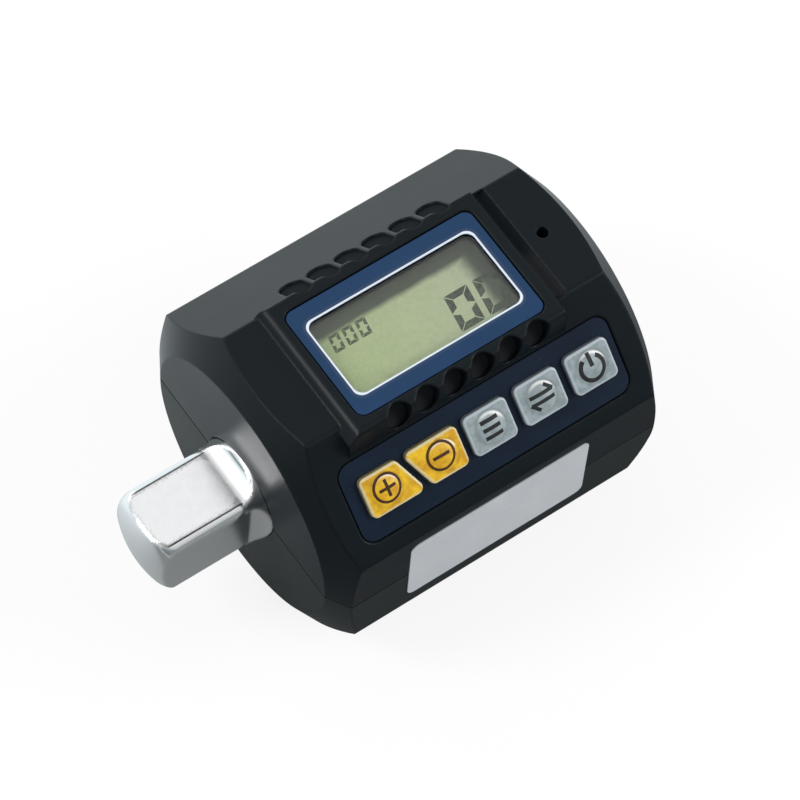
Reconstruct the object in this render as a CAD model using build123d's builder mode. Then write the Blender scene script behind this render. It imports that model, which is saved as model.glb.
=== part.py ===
from build123d import *
import os
from math import radians, sqrt, tan

# Digital torque adapter. X is the torque axis: the male square points to -X, the female square opens
# to +X, the keys look towards -Y and the display looks up. The origin lies on the axis, where the flats
# of the male square end. All sizes are in millimetres.

# Housing
housing_across = 51.4
housing_length = 60.0
front_face_x = 3.3
end_disc_inset = 3.7
end_cone_rise = 0.62
lower_corner_rise = 2.0
corner_reach = 1.15
wall = 2.4
end_wall = 2.6
upper_edge_radius = 1.0
lower_edge_radius = 2.4
parting_groove_width = 0.24
parting_groove_depth = 0.3
seat_gap = 0.05
slip_gap = 0.2

# Display console and its flutes
console_height = 1.2
console_front_inset = 10.9
console_rear_inset = 12.6
console_far_overhang = 0.45
console_near_overhang = 3.15
console_ramp = 2.0
console_ramp_drop = 1.9
console_foot_down = 5.0
console_long_radius = 0.9
console_front_radius = 2.0
console_rear_radius = 0.4
groove_radius = 1.3
groove_depth = 0.8
flute_count = 6
flute_pitch = 4.9
flute_radius = 2.1
flute_depth = 0.45
flute_reach_near = 4.6
flute_reach_far = 6.4
flute_start_near = 0.3
flute_start_far = -1.3

# Display
bezel_front_margin = 1.55
bezel_rear_margin = 1.95
bezel_far_margin = 2.6
bezel_near_margin = 2.2
bezel_corner = 1.5
bezel_thickness = 1.05
bezel_sink = 0.15
bezel_gap = 0.25
line_end_margin = 1.5
line_side_margin = 2.65
line_corner = 1.6
line_stroke = 0.75
line_depth = 0.2
window_margin = 0.5
window_thickness = 0.6
window_sink = 0.35
glass_end_overhang = 0.5
glass_side_inset = 1.05
glass_thickness = 2.1
glass_top_drop = 2.5
reflector_thickness = 0.3
holder_rim = 1.6
zebra_width = 1.6
zebra_edge = 0.5
zebra_gap = 0.2

# Boards
board_rear_inset = 4.7
board_width = 21.5
board_centre_y = 0.75
board_depth = 8.0
board_thickness = 1.6
post_radius = 2.2
post_inset_x = 2.4
post_gap = 0.45
post_y = 7.0
board_screw_radius = 0.9
board_screw_head = 1.8
board_screw_head_height = 1.1
board_screw_grip = 3.4
chip_height = 1.2
controller_size = 9.0
controller_offset = 6.7
amplifier_size = 5.0
amplifier_offset = -7.8
buzzer_rear_inset = 7.2
buzzer_y = -0.4
buzzer_radius = 2.4
buzzer_height = 4.9
sound_hole_radius = 0.95

# Key overlay and keys, placed along the near slope: down is measured from its upper edge
overlay_front_inset = 6.0
overlay_rear_inset = 6.2
overlay_top_down = 5.6
overlay_bottom_down = 18.4
overlay_corner = 2.2
overlay_thickness = 0.45
overlay_sink = 0.1
overlay_gap = 0.25
key_row_down = 11.8
key_height = 6.6
key_width = 7.6
key_corner = 1.0
key_rise = 0.9
key_edge_radius = 0.35
key_fit = 0.15
key_dome_radius = 2.5
key_dome_rise = 0.35
key_pitch = 9.1
last_key_inset = 5.2
yellow_inset = 2.3
yellow_key_gap = 1.2
yellow_split_top = 0.415
yellow_split_bottom = 0.585
yellow_split_gap = 1.1
key_flange_margin = 0.35
key_flange_thickness = 0.5
key_travel = 0.4
key_clearance = 0.15
key_stem_radius = 1.1
key_stem_fit = 0.3
switch_size = 4.6
switch_height = 1.6
switch_hole_radius = 1.3
switch_floor = 0.4
switch_entry = 0.5
key_board_depth = 5.0
key_board_thickness = 1.2
key_board_margin = 0.25
key_board_top_down = 6.8
key_board_bottom_down = 17.0
key_post_radius = 1.0
key_post_inset = 1.2

# Shaft
drive_size = 12.7
drive_corner = 1.6
drive_length = 15.85
drive_tip_radius = 1.55
shank_radius = 8.3
shank_fit = 0.15
runout_length = 3.2
collar_radius = 10.5
collar_width = 2.5
neck_radius = 6.6
gauge_flat = 11.2
gauge_flat_length = 15.0
gauge_offset = -8.3
boss_radius = 11.6
boss_length = 23.3
mouth_overhang = 2.0
flange_radius = 13.0
flange_width = 2.4
flange_across = 23.6
socket_size = 12.9
socket_corner = 0.8
socket_depth = 16.4
socket_mouth_bevel = 0.7
socket_pilot_radius = 3.0
socket_pilot_depth = 2.0
socket_recess_radius = 2.4
socket_recess_depth = 0.9
socket_recess_from_mouth = 8.0
ball_radius = 2.0
ball_rise = 0.9
ball_x = -7.8
ball_fit = 0.06
ball_bore_depth = 5.6
spring_wire_radius = 0.22
spring_turns = 3.0
seal_width = 1.3
seal_thickness = 1.9
gauge_length = 6.0
gauge_width = 4.5
gauge_thickness = 0.2
lead_width = 4.0
lead_thickness = 0.2
lead_foot = 4.0

# Cradles, screw bosses and lip
cradle_thickness = 1.6
cradle_height = 9.0
boss_end_inset = 7.2
boss_side_inset = 4.8
upper_boss_radius = 2.6
upper_boss_height = 7.0
lower_boss_radius = 3.4
screw_radius = 1.15
screw_clearance = 0.2
screw_head_radius = 2.1
screw_head_height = 1.6
screw_head_gap = 0.3
screw_seat_depth = 17.7
screw_grip = 5.0
lip_length = 36.0
lip_thickness = 1.0
lip_height = 1.5

# Cells, contacts and battery door
cell_radius = 5.25
cell_room = 15.5
cell_nub_radius = 1.9
cell_nub_length = 1.1
cell_y = 7.75
cell_rise = 8.0
tray_offset = -0.95
tray_rib = 1.2
tray_half_width = 16.0
tray_above_cells = 1.8
tray_keel = 1.6
tray_keel_drop = 3.3
plate_thickness = 0.5
plate_width = 8.0
plate_height = 5.2
plate_drop = 0.7
contact_space = 2.4
contact_wire_radius = 0.3
contact_coil_radius = 2.6
contact_turns = 2.5
door_front_inset = 4.3
door_rear_inset = 5.3
door_half_width = 14.6
door_sink = 0.3
door_thickness = 1.2
door_gap = 0.3
door_rear_gap = 0.5
door_ledge = 1.2
tab_width = 7.0
tab_reach = 1.6
tab_web = 1.2
tab_lift = 3.0
tab_thickness = 1.0
tab_notch_height = 3.4
door_screw_inset = 6.0
door_boss_radius = 2.1
door_boss_rise = 2.7
door_pad_radius = 3.0
door_screw_radius = 0.9
door_screw_play = 0.45
door_screw_head = 2.0
door_screw_head_height = 0.9
door_screw_length = 4.6

# Side label
label_length = 32.2
label_offset = -1.4
label_top_z = 8.4
label_bottom_z = -7.1
label_corner = 1.4
label_thickness = 0.15

# Places that follow from the sizes above
half_across = housing_across / 2
half_flat = half_across * tan(radians(22.5))
end_disc_radius = half_across - end_disc_inset
cell_length = housing_length - cell_room
centre_x = front_face_x + housing_length / 2
rear_face_x = front_face_x + housing_length
front_inner_x = front_face_x + end_wall
rear_inner_x = rear_face_x - end_wall
inner_across = half_across - wall
console_top_z = half_across + console_height
console_front_x = front_face_x + console_front_inset
console_rear_x = rear_face_x - console_rear_inset
console_far_y = half_flat + console_far_overhang
console_near_y = -half_flat - console_near_overhang
half_drive = drive_size / 2
mouth_x = rear_face_x + mouth_overhang
boss_front_x = mouth_x - boss_length
flange_rear_x = rear_inner_x - slip_gap
flange_front_x = flange_rear_x - flange_width
collar_front_x = front_inner_x + slip_gap
collar_rear_x = collar_front_x + collar_width
bezel_length = console_rear_x - console_front_x - bezel_front_margin - bezel_rear_margin
bezel_width = console_far_y - console_near_y - bezel_far_margin - bezel_near_margin
display_x = console_front_x + bezel_front_margin + bezel_length / 2
display_y = console_far_y - bezel_far_margin - bezel_width / 2
line_length = bezel_length - 2 * line_end_margin
line_width = bezel_width - 2 * line_side_margin
glass_length = bezel_length + 2 * glass_end_overhang
glass_width = bezel_width - 2 * glass_side_inset
reflector_width = glass_width - 2 * (zebra_edge + zebra_width + zebra_gap)
zebra_offset = glass_width / 2 - zebra_edge - zebra_width / 2
board_top_z = half_across - board_depth
board_under_z = board_top_z - board_thickness
post_spread = glass_length / 2 + post_gap + post_radius
board_front_x = display_x - post_spread - post_inset_x
board_rear_x = rear_face_x - board_rear_inset
buzzer_x = rear_face_x - buzzer_rear_inset
bezel_top_z = console_top_z - bezel_sink
bezel_floor_z = bezel_top_z - bezel_thickness
glass_top_z = console_top_z - glass_top_drop
glass_under_z = glass_top_z - glass_thickness
reflector_under_z = glass_under_z - reflector_thickness
opening_length = line_length - line_stroke
opening_width = line_width - line_stroke
tray_length = 2 * plate_thickness + cell_length + contact_space
tray_front_x = centre_x + tray_offset - tray_length / 2
tray_rear_x = centre_x + tray_offset + tray_length / 2
cell_z = cell_rise - half_across
tray_top_z = cell_z + tray_above_cells
tray_keel_bottom_z = cell_z - tray_keel_drop
door_front_x = front_face_x + door_front_inset
door_rear_x = rear_face_x - door_rear_inset
door_screw_x = door_rear_x - door_screw_inset
door_boss_bottom_z = door_boss_rise - half_across
gauge_centre_x = centre_x + gauge_offset
boss_spread_x = housing_length / 2 - boss_end_inset
boss_y = half_across - boss_side_inset
screw_seat_z = screw_seat_depth - half_across
label_left_x = centre_x + label_offset - label_length / 2
label_right_x = centre_x + label_offset + label_length / 2
overlay_left_x = front_face_x + overlay_front_inset
overlay_right_x = rear_face_x - overlay_rear_inset
near_slope = Plane(origin=(0, -half_flat, half_across), x_dir=(1, 0, 0), z_dir=(0, -1, 1))
far_slope = Plane(origin=(0, half_flat, half_across), x_dir=(1, 0, 0), z_dir=(0, 1, 1))
grey_key_xs = [overlay_right_x - last_key_inset - key_pitch * place for place in (2, 1, 0)]
yellow_left_x = overlay_left_x + yellow_inset
yellow_right_x = grey_key_xs[0] - key_width / 2 - yellow_key_gap
yellow_split_top_x = yellow_left_x + yellow_split_top * (yellow_right_x - yellow_left_x)
yellow_split_bottom_x = yellow_left_x + yellow_split_bottom * (yellow_right_x - yellow_left_x)
key_board_length = overlay_right_x - overlay_left_x - 2 * key_board_margin
key_board_centre_x = (overlay_left_x + overlay_right_x) / 2
yellow_plus_x = (yellow_left_x + yellow_split_top_x) / 2
yellow_minus_x = (yellow_split_bottom_x + yellow_right_x) / 2
key_xs = [yellow_plus_x, yellow_minus_x] + grey_key_xs
pivot_z = -half_across + door_sink

os.makedirs("parts", exist_ok=True)


# An octagonal bar with coned ends, drawn in by a wall all round and by an end wall. The rear cone
# is steeper beyond the flats where the corners are cut back further
def coned_bar(inset, end_inset, corner_rise=end_cone_rise):
    disc = end_disc_radius - inset / 2
    knee = half_across - inset
    rim = half_across * corner_reach
    front = front_face_x + end_inset
    rear = rear_face_x - end_inset
    knee_x = rear - end_cone_rise * (knee - disc)
    with BuildPart() as bar:
        with BuildSketch(Plane.YZ.offset(front)):
            RegularPolygon(knee, 8, major_radius=False, rotation=22.5)
        extrude(amount=rear - front)
        with BuildSketch(Plane.XZ):
            with BuildLine():
                Polyline(
                    (front, 0),
                    (front, disc),
                    (front + end_cone_rise * (rim - disc), rim),
                    (knee_x - corner_rise * (rim - knee), rim),
                    (knee_x, knee),
                    (rear, disc),
                    (rear, 0),
                    close=True,
                )
            make_face()
        revolve(axis=Axis.X, mode=Mode.INTERSECT)
    return bar.part


def lower_bar(inset, end_inset):
    return coned_bar(inset, end_inset, lower_corner_rise)


# The outside of one half of the housing, with its long edges rounded
def half_shell(bar, side, edge_radius):
    with BuildPart() as shell:
        add(bar)
        long_edges = shell.edges().filter_by(Axis.X)
        outer = long_edges.filter_by(lambda edge: edge.center().Z * side > 0)
        fillet(outer, edge_radius)
        split(bisect_by=Plane.XY, keep=Keep.TOP if side > 0 else Keep.BOTTOM)
    return shell.part


# The shallow groove that the two halves leave between them
def parting_groove():
    with BuildPart() as groove:
        add(coned_bar(0, 0))
        add(coned_bar(parting_groove_depth, parting_groove_depth), mode=Mode.SUBTRACT)
        with Locations((centre_x, 0, 0)):
            Box(2 * housing_length, 2 * housing_across, parting_groove_width, mode=Mode.INTERSECT)
    return groove.part


# Holes through the end walls and the counterbores of the two seals
def shaft_passages():
    with BuildPart() as passages:
        with BuildSketch(Plane.YZ.offset(front_face_x - end_wall)):
            Circle(shank_radius + shank_fit)
        extrude(amount=3 * end_wall)
        with BuildSketch(Plane.YZ.offset(front_inner_x - seal_width - seat_gap)):
            Circle(shank_radius + seal_thickness + seat_gap)
        extrude(amount=seal_width + 2 * seat_gap)
        with BuildSketch(Plane.YZ.offset(rear_inner_x - end_wall)):
            Circle(boss_radius + shank_fit)
        extrude(amount=3 * end_wall)
        with BuildSketch(Plane.YZ.offset(rear_inner_x - seat_gap)):
            Circle(boss_radius + seal_thickness + seat_gap)
        extrude(amount=seal_width + 2 * seat_gap)
    return passages.part


# Cross plates behind the front collar and ahead of the rear flange, and pads beside its flats
def cradles(side):
    height = cradle_height
    with BuildPart() as plates:
        front_plate_x = collar_rear_x + slip_gap
        rear_plate_x = flange_front_x - slip_gap - cradle_thickness
        for plate_x, bore in ((front_plate_x, neck_radius), (rear_plate_x, boss_radius)):
            with BuildSketch(Plane.YZ.offset(plate_x)):
                with Locations((0, side * height / 2)):
                    Rectangle(2 * inner_across + wall, height)
                Circle(bore + shank_fit, mode=Mode.SUBTRACT)
            extrude(amount=cradle_thickness)
        pad = inner_across + wall / 2 - flange_across / 2 - shank_fit
        with BuildSketch(Plane.YZ.offset(flange_front_x)):
            with Locations((0, side * height / 4)):
                with GridLocations(flange_across + 2 * shank_fit + pad, 0, 2, 1):
                    Rectangle(pad, height / 2)
        extrude(amount=flange_width)
    return plates.part


def boss_places():
    return GridLocations(2 * boss_spread_x, 2 * boss_y, 2, 2)


# A rounded rectangle of the display, drawn at a height
def display_shape(height, length, width, corner):
    with BuildSketch(Plane.XY.offset(height)) as shape:
        with Locations((display_x, display_y)):
            RectangleRounded(length, width, corner)
    return shape.sketch


# The outline of a yellow key: a rectangle with one slanting side
def yellow_outline(left_top, left_bottom, right_top, right_bottom, margin):
    top = -key_row_down + key_height / 2
    bottom = -key_row_down - key_height / 2
    with BuildSketch() as outline:
        with BuildLine():
            Polyline(
                (left_bottom, bottom),
                (right_bottom, bottom),
                (right_top, top),
                (left_top, top),
                close=True,
            )
        make_face()
        fillet(outline.vertices(), key_corner)
        if margin:
            offset(amount=margin)
    return outline.sketch


def grey_outline(place_x, margin):
    with BuildSketch() as outline:
        with Locations((place_x, -key_row_down)):
            RectangleRounded(key_width + 2 * margin, key_height + 2 * margin, key_corner + margin)
    return outline.sketch


def key_outlines(margin):
    half_gap = yellow_split_gap / 2
    plus = yellow_outline(
        yellow_left_x,
        yellow_left_x,
        yellow_split_top_x - half_gap,
        yellow_split_bottom_x - half_gap,
        margin,
    )
    minus = yellow_outline(
        yellow_split_top_x + half_gap,
        yellow_split_bottom_x + half_gap,
        yellow_right_x,
        yellow_right_x,
        margin,
    )
    return [plus, minus] + [grey_outline(place_x, margin) for place_x in grey_key_xs]


# The raised console, shaped by its side view and its section
def console_block():
    foot = near_slope.from_local_coords((0, -console_foot_down, 0))
    low_z = half_across - 2 * wall
    with BuildPart() as console:
        with BuildSketch(Plane.XZ) as side_view:
            with BuildLine():
                Polyline(
                    (console_front_x - console_ramp, low_z),
                    (console_front_x - console_ramp, console_top_z - console_ramp_drop),
                    (console_front_x, console_top_z),
                    (console_rear_x, console_top_z),
                    (console_rear_x, low_z),
                    close=True,
                )
            make_face()
            front_corner, rear_corner = side_view.vertices().group_by(Axis.Y)[-1].sort_by(Axis.X)
            fillet(front_corner, console_front_radius)
            fillet(rear_corner, console_rear_radius)
        extrude(amount=housing_across, both=True)
        with BuildSketch(Plane.YZ) as section:
            with BuildLine():
                Polyline(
                    (0, low_z),
                    (foot.Y + wall, low_z),
                    (foot.Y, foot.Z),
                    (console_near_y, console_top_z),
                    (console_far_y, console_top_z),
                    (console_far_y, half_across - wall),
                    close=True,
                )
            make_face()
            fillet(section.vertices().group_by(Axis.Y)[-1], console_long_radius)
        extrude(amount=2 * housing_length, mode=Mode.INTERSECT)
    return console.part


# Round-ended flutes that scallop a long side of the console and run out on the slope
def flutes(slope, down, start, reach):
    with BuildPart() as row:
        with BuildSketch(slope.offset(-flute_depth)):
            with Locations((centre_x, down * (start + reach) / 2)):
                with GridLocations(flute_pitch, 0, flute_count, 1):
                    SlotOverall(reach - start, 2 * flute_radius, rotation=90)
        extrude(amount=3 * console_height + flute_depth)
    return row.part


# Upper housing: console, display opening, key slope, posts and bosses
with BuildPart() as upper_housing:
    add(half_shell(coned_bar(0, 0), 1, upper_edge_radius))
    add(console_block())
    add(flutes(near_slope, -1, flute_start_near, flute_reach_near), mode=Mode.SUBTRACT)
    add(flutes(far_slope, 1, flute_start_far, flute_reach_far), mode=Mode.SUBTRACT)
    with BuildSketch(Plane.XZ):
        with Locations((console_rear_x + groove_radius, half_across + groove_radius - groove_depth)):
            Circle(groove_radius)
    extrude(amount=half_flat, both=True, mode=Mode.SUBTRACT)
    add(coned_bar(wall, end_wall), mode=Mode.SUBTRACT)
    add(parting_groove(), mode=Mode.SUBTRACT)

    # pocket for the bezel, opening for the window and seat for the display glass
    add(
        display_shape(
            bezel_floor_z,
            bezel_length + 2 * bezel_gap,
            bezel_width + 2 * bezel_gap,
            bezel_corner + bezel_gap,
        )
    )
    extrude(amount=2 * bezel_thickness, mode=Mode.SUBTRACT)
    add(display_shape(bezel_floor_z, opening_length, opening_width, line_corner))
    extrude(amount=-2 * wall, mode=Mode.SUBTRACT)
    with Locations((display_x, display_y, glass_top_z + seat_gap)):
        Box(
            glass_length + 2 * slip_gap,
            glass_width + 2 * slip_gap,
            2 * wall,
            align=(Align.CENTER, Align.CENTER, Align.MAX),
            mode=Mode.SUBTRACT,
        )

    # recess for the key overlay, with a pocket and a stem hole under each key
    overlay_length = overlay_right_x - overlay_left_x
    overlay_height = overlay_bottom_down - overlay_top_down
    overlay_floor = overlay_sink + overlay_thickness
    overlay_place = (
        (overlay_left_x + overlay_right_x) / 2,
        -(overlay_top_down + overlay_bottom_down) / 2,
    )
    with BuildSketch(near_slope.offset(-overlay_floor)):
        with Locations(overlay_place):
            RectangleRounded(
                overlay_length + 2 * overlay_gap,
                overlay_height + 2 * overlay_gap,
                overlay_corner + overlay_gap,
            )
    extrude(amount=overlay_floor + seat_gap, mode=Mode.SUBTRACT)
    pocket_depth = key_flange_thickness + key_travel + key_clearance
    for outline in key_outlines(key_flange_margin + key_fit):
        with BuildSketch(near_slope.offset(-overlay_floor)):
            add(outline)
        extrude(amount=-pocket_depth, mode=Mode.SUBTRACT)
    with BuildSketch(near_slope):
        with Locations([(place_x, -key_row_down) for place_x in key_xs]):
            Circle(key_stem_radius + key_stem_fit)
    extrude(amount=-2 * wall, mode=Mode.SUBTRACT)

    # posts that carry the key board
    post_xs = [
        key_board_centre_x - key_board_length / 2 + key_post_inset,
        (key_xs[1] + key_xs[2]) / 2,
        (key_xs[3] + key_xs[4]) / 2,
        key_board_centre_x + key_board_length / 2 - key_post_inset,
    ]
    with BuildSketch(near_slope.offset(-key_board_depth)):
        with Locations([(post_x, -key_row_down) for post_x in post_xs]):
            Circle(key_post_radius)
    extrude(amount=key_board_depth - wall / 2 - pocket_depth / 2)

    # sound hole and posts for the main board
    with BuildSketch(Plane.XY.offset(half_across)):
        with Locations((buzzer_x, buzzer_y)):
            Circle(sound_hole_radius)
    extrude(amount=-2 * wall, mode=Mode.SUBTRACT)
    board_posts = [
        (place_x, place_y)
        for place_x in (display_x - post_spread, display_x + post_spread)
        for place_y in (-post_y, post_y)
    ]
    with BuildSketch(Plane.XY.offset(board_top_z)):
        with Locations(board_posts):
            Circle(post_radius)
    extrude(amount=inner_across + wall / 2 - board_top_z)
    with BuildSketch(Plane.XY.offset(board_top_z)):
        with Locations(board_posts):
            Circle(board_screw_radius + seat_gap)
    extrude(amount=board_screw_grip + slip_gap, mode=Mode.SUBTRACT)

    # screw bosses, cradles for the shaft and the passages in the end walls
    with BuildSketch(Plane.XY):
        with Locations((centre_x, 0)):
            with boss_places():
                Circle(upper_boss_radius)
    extrude(amount=upper_boss_height)
    add(cradles(1))
    with BuildSketch(Plane.XY):
        with Locations((centre_x, 0)):
            with boss_places():
                Circle(screw_radius + seat_gap)
    extrude(amount=screw_grip + slip_gap, mode=Mode.SUBTRACT)
    add(shaft_passages(), mode=Mode.SUBTRACT)
upper_housing.part.label = "upper_housing"
export_step(upper_housing.part, "parts/upper_housing.step")


# The field of the battery door in the lower wall, as a block between two depths of the wall
def door_field(margin, rear_margin, shallow, deep):
    front = door_front_x - margin
    rear = door_rear_x + rear_margin
    with BuildPart() as field:
        add(lower_bar(shallow, shallow))
        with Locations(((front + rear) / 2, 0, -half_across)):
            Box(
                rear - front,
                2 * (door_half_width + margin),
                2 * (half_across + cell_z + cell_radius),
                mode=Mode.INTERSECT,
            )
        add(lower_bar(deep, deep), mode=Mode.SUBTRACT)
    return field.part


# Lower housing: battery bay, door opening, bosses and cradles
with BuildPart() as lower_housing:
    add(half_shell(lower_bar(0, 0), -1, lower_edge_radius))
    add(lower_bar(wall, end_wall), mode=Mode.SUBTRACT)
    add(parting_groove(), mode=Mode.SUBTRACT)

    # lip along both sides that locates the upper housing
    with BuildSketch(Plane.XY.offset(-lip_height)):
        with Locations((centre_x, 0)):
            with GridLocations(0, 2 * inner_across - 2 * seat_gap - lip_thickness, 1, 2):
                Rectangle(lip_length, lip_thickness)
    extrude(amount=2 * lip_height)
    with BuildSketch(Plane.XY.offset(-lip_height)):
        with Locations((centre_x, 0)):
            with GridLocations(0, 2 * inner_across - seat_gap, 1, 2):
                Rectangle(lip_length, 3 * seat_gap)
    extrude(amount=lip_height - seat_gap)

    # screw bosses with deep seats for the screw heads, and the cradles for the shaft
    with BuildPart(mode=Mode.PRIVATE) as columns:
        with BuildSketch(Plane.XY.offset(-half_across)):
            with Locations((centre_x, 0)):
                with boss_places():
                    Circle(lower_boss_radius)
        extrude(amount=half_across)
        add(lower_bar(lower_edge_radius / 2, wall / 2), mode=Mode.INTERSECT)
    add(columns.part)
    add(cradles(-1))
    with BuildSketch(Plane.XY.offset(screw_seat_z)):
        with Locations((centre_x, 0)):
            with boss_places():
                Circle(screw_radius + screw_clearance)
    extrude(amount=half_across, mode=Mode.SUBTRACT)
    with BuildSketch(Plane.XY.offset(screw_seat_z)):
        with Locations((centre_x, 0)):
            with boss_places():
                Circle(screw_head_radius + screw_head_gap)
    extrude(amount=-half_across, mode=Mode.SUBTRACT)

    # ribs at both ends of the battery bay, joined by a keel with the door's screw boss
    with BuildPart(mode=Mode.PRIVATE) as bay:
        for rib_x in (tray_front_x - tray_rib, tray_rear_x):
            with BuildSketch(Plane.YZ.offset(rib_x)):
                with Locations((0, (tray_top_z - half_across) / 2)):
                    Rectangle(2 * tray_half_width, half_across + tray_top_z)
            extrude(amount=tray_rib)
        with BuildSketch(Plane.XZ):
            with Locations(((tray_front_x + tray_rear_x) / 2, (tray_top_z + tray_keel_bottom_z) / 2)):
                Rectangle(tray_rear_x - tray_front_x, tray_top_z - tray_keel_bottom_z)
        extrude(amount=tray_keel / 2, both=True)
        with BuildSketch(Plane.XY.offset(door_boss_bottom_z)):
            with Locations((door_screw_x, 0)):
                Circle(door_boss_radius)
        extrude(amount=tray_top_z - door_boss_bottom_z)
        add(lower_bar(wall / 2, wall / 2), mode=Mode.INTERSECT)
    add(bay.part)
    with BuildSketch(Plane.XY.offset(door_boss_bottom_z)):
        with Locations((door_screw_x, 0)):
            Circle(door_screw_radius + door_screw_play)
    extrude(amount=door_screw_length, mode=Mode.SUBTRACT)

    # door opening, stepped so that the door lies on a ledge, and a notch for its tab
    ledge_depth = door_sink + door_thickness + door_gap
    add(door_field(door_gap, door_rear_gap, 0, ledge_depth), mode=Mode.SUBTRACT)
    with BuildPart(mode=Mode.PRIVATE) as bay_mouth:
        add(door_field(-door_ledge, -door_ledge, 0, wall + seat_gap))
        with Locations(((tray_front_x + tray_rear_x) / 2, 0, -half_across)):
            Box(
                tray_rear_x - tray_front_x,
                housing_across,
                housing_across,
                mode=Mode.INTERSECT,
            )
    add(bay_mouth.part, mode=Mode.SUBTRACT)
    with Locations((tray_front_x, 0, -inner_across)):
        Box(
            4 * tray_rib,
            tab_width + 4 * door_gap,
            tab_notch_height,
            align=(Align.CENTER, Align.CENTER, Align.MIN),
            mode=Mode.SUBTRACT,
        )
    add(shaft_passages(), mode=Mode.SUBTRACT)
lower_housing.part.label = "lower_housing"
export_step(lower_housing.part, "parts/lower_housing.step")


# Battery door: a wrap-round cover with a hooked tab in front and a screw pad behind
with BuildPart() as battery_door:
    add(door_field(0, 0, door_sink, door_sink + door_thickness))
    plate_inner_z = -half_across + door_sink + door_thickness
    tongue_z = pivot_z + tab_lift
    web_x = door_front_x + door_ledge + door_gap
    with Locations((web_x + tab_web / 2, 0, plate_inner_z)):
        Box(
            tab_web,
            tab_width,
            tongue_z + tab_thickness - plate_inner_z,
            align=(Align.CENTER, Align.CENTER, Align.MIN),
        )
    with Locations((web_x + tab_web, 0, tongue_z)):
        Box(
            tab_web + tab_reach,
            tab_width,
            tab_thickness,
            align=(Align.MAX, Align.CENTER, Align.MIN),
        )
    with BuildSketch(Plane.XY.offset(plate_inner_z)):
        with Locations((door_screw_x, 0)):
            Circle(door_pad_radius)
    extrude(amount=door_boss_bottom_z - slip_gap - plate_inner_z)
    with Locations((door_screw_x, 0, -half_across + door_sink)):
        with Locations(Rotation(180, 0, 0)):
            CounterBoreHole(
                door_screw_radius + seat_gap,
                door_screw_head + door_gap,
                door_screw_head_height + seat_gap,
                2 * door_boss_rise,
            )
battery_door.part.label = "battery_door"
export_step(battery_door.part, "parts/battery_door.step")

with BuildPart() as door_screw:
    head_z = -half_across + door_sink
    with BuildSketch(Plane.XY.offset(head_z)):
        with Locations((door_screw_x, 0)):
            Circle(door_screw_head)
    extrude(amount=door_screw_head_height)
    with BuildSketch(Plane.XY.offset(head_z + door_screw_head_height)):
        with Locations((door_screw_x, 0)):
            Circle(door_screw_radius)
    extrude(amount=door_screw_length - door_screw_head_height)
door_screw.part.label = "door_screw"
export_step(door_screw.part, "parts/door_screw.step")

with BuildPart() as housing_screws:
    with BuildSketch(Plane.XY.offset(screw_seat_z)):
        with Locations((centre_x, 0)):
            with boss_places():
                Circle(screw_head_radius)
    extrude(amount=-screw_head_height)
    with BuildSketch(Plane.XY.offset(screw_seat_z)):
        with Locations((centre_x, 0)):
            with boss_places():
                Circle(screw_radius)
    extrude(amount=screw_grip - screw_seat_z)
housing_screws.part.label = "housing_screws"
export_step(housing_screws.part, "parts/housing_screws.step")

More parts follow.
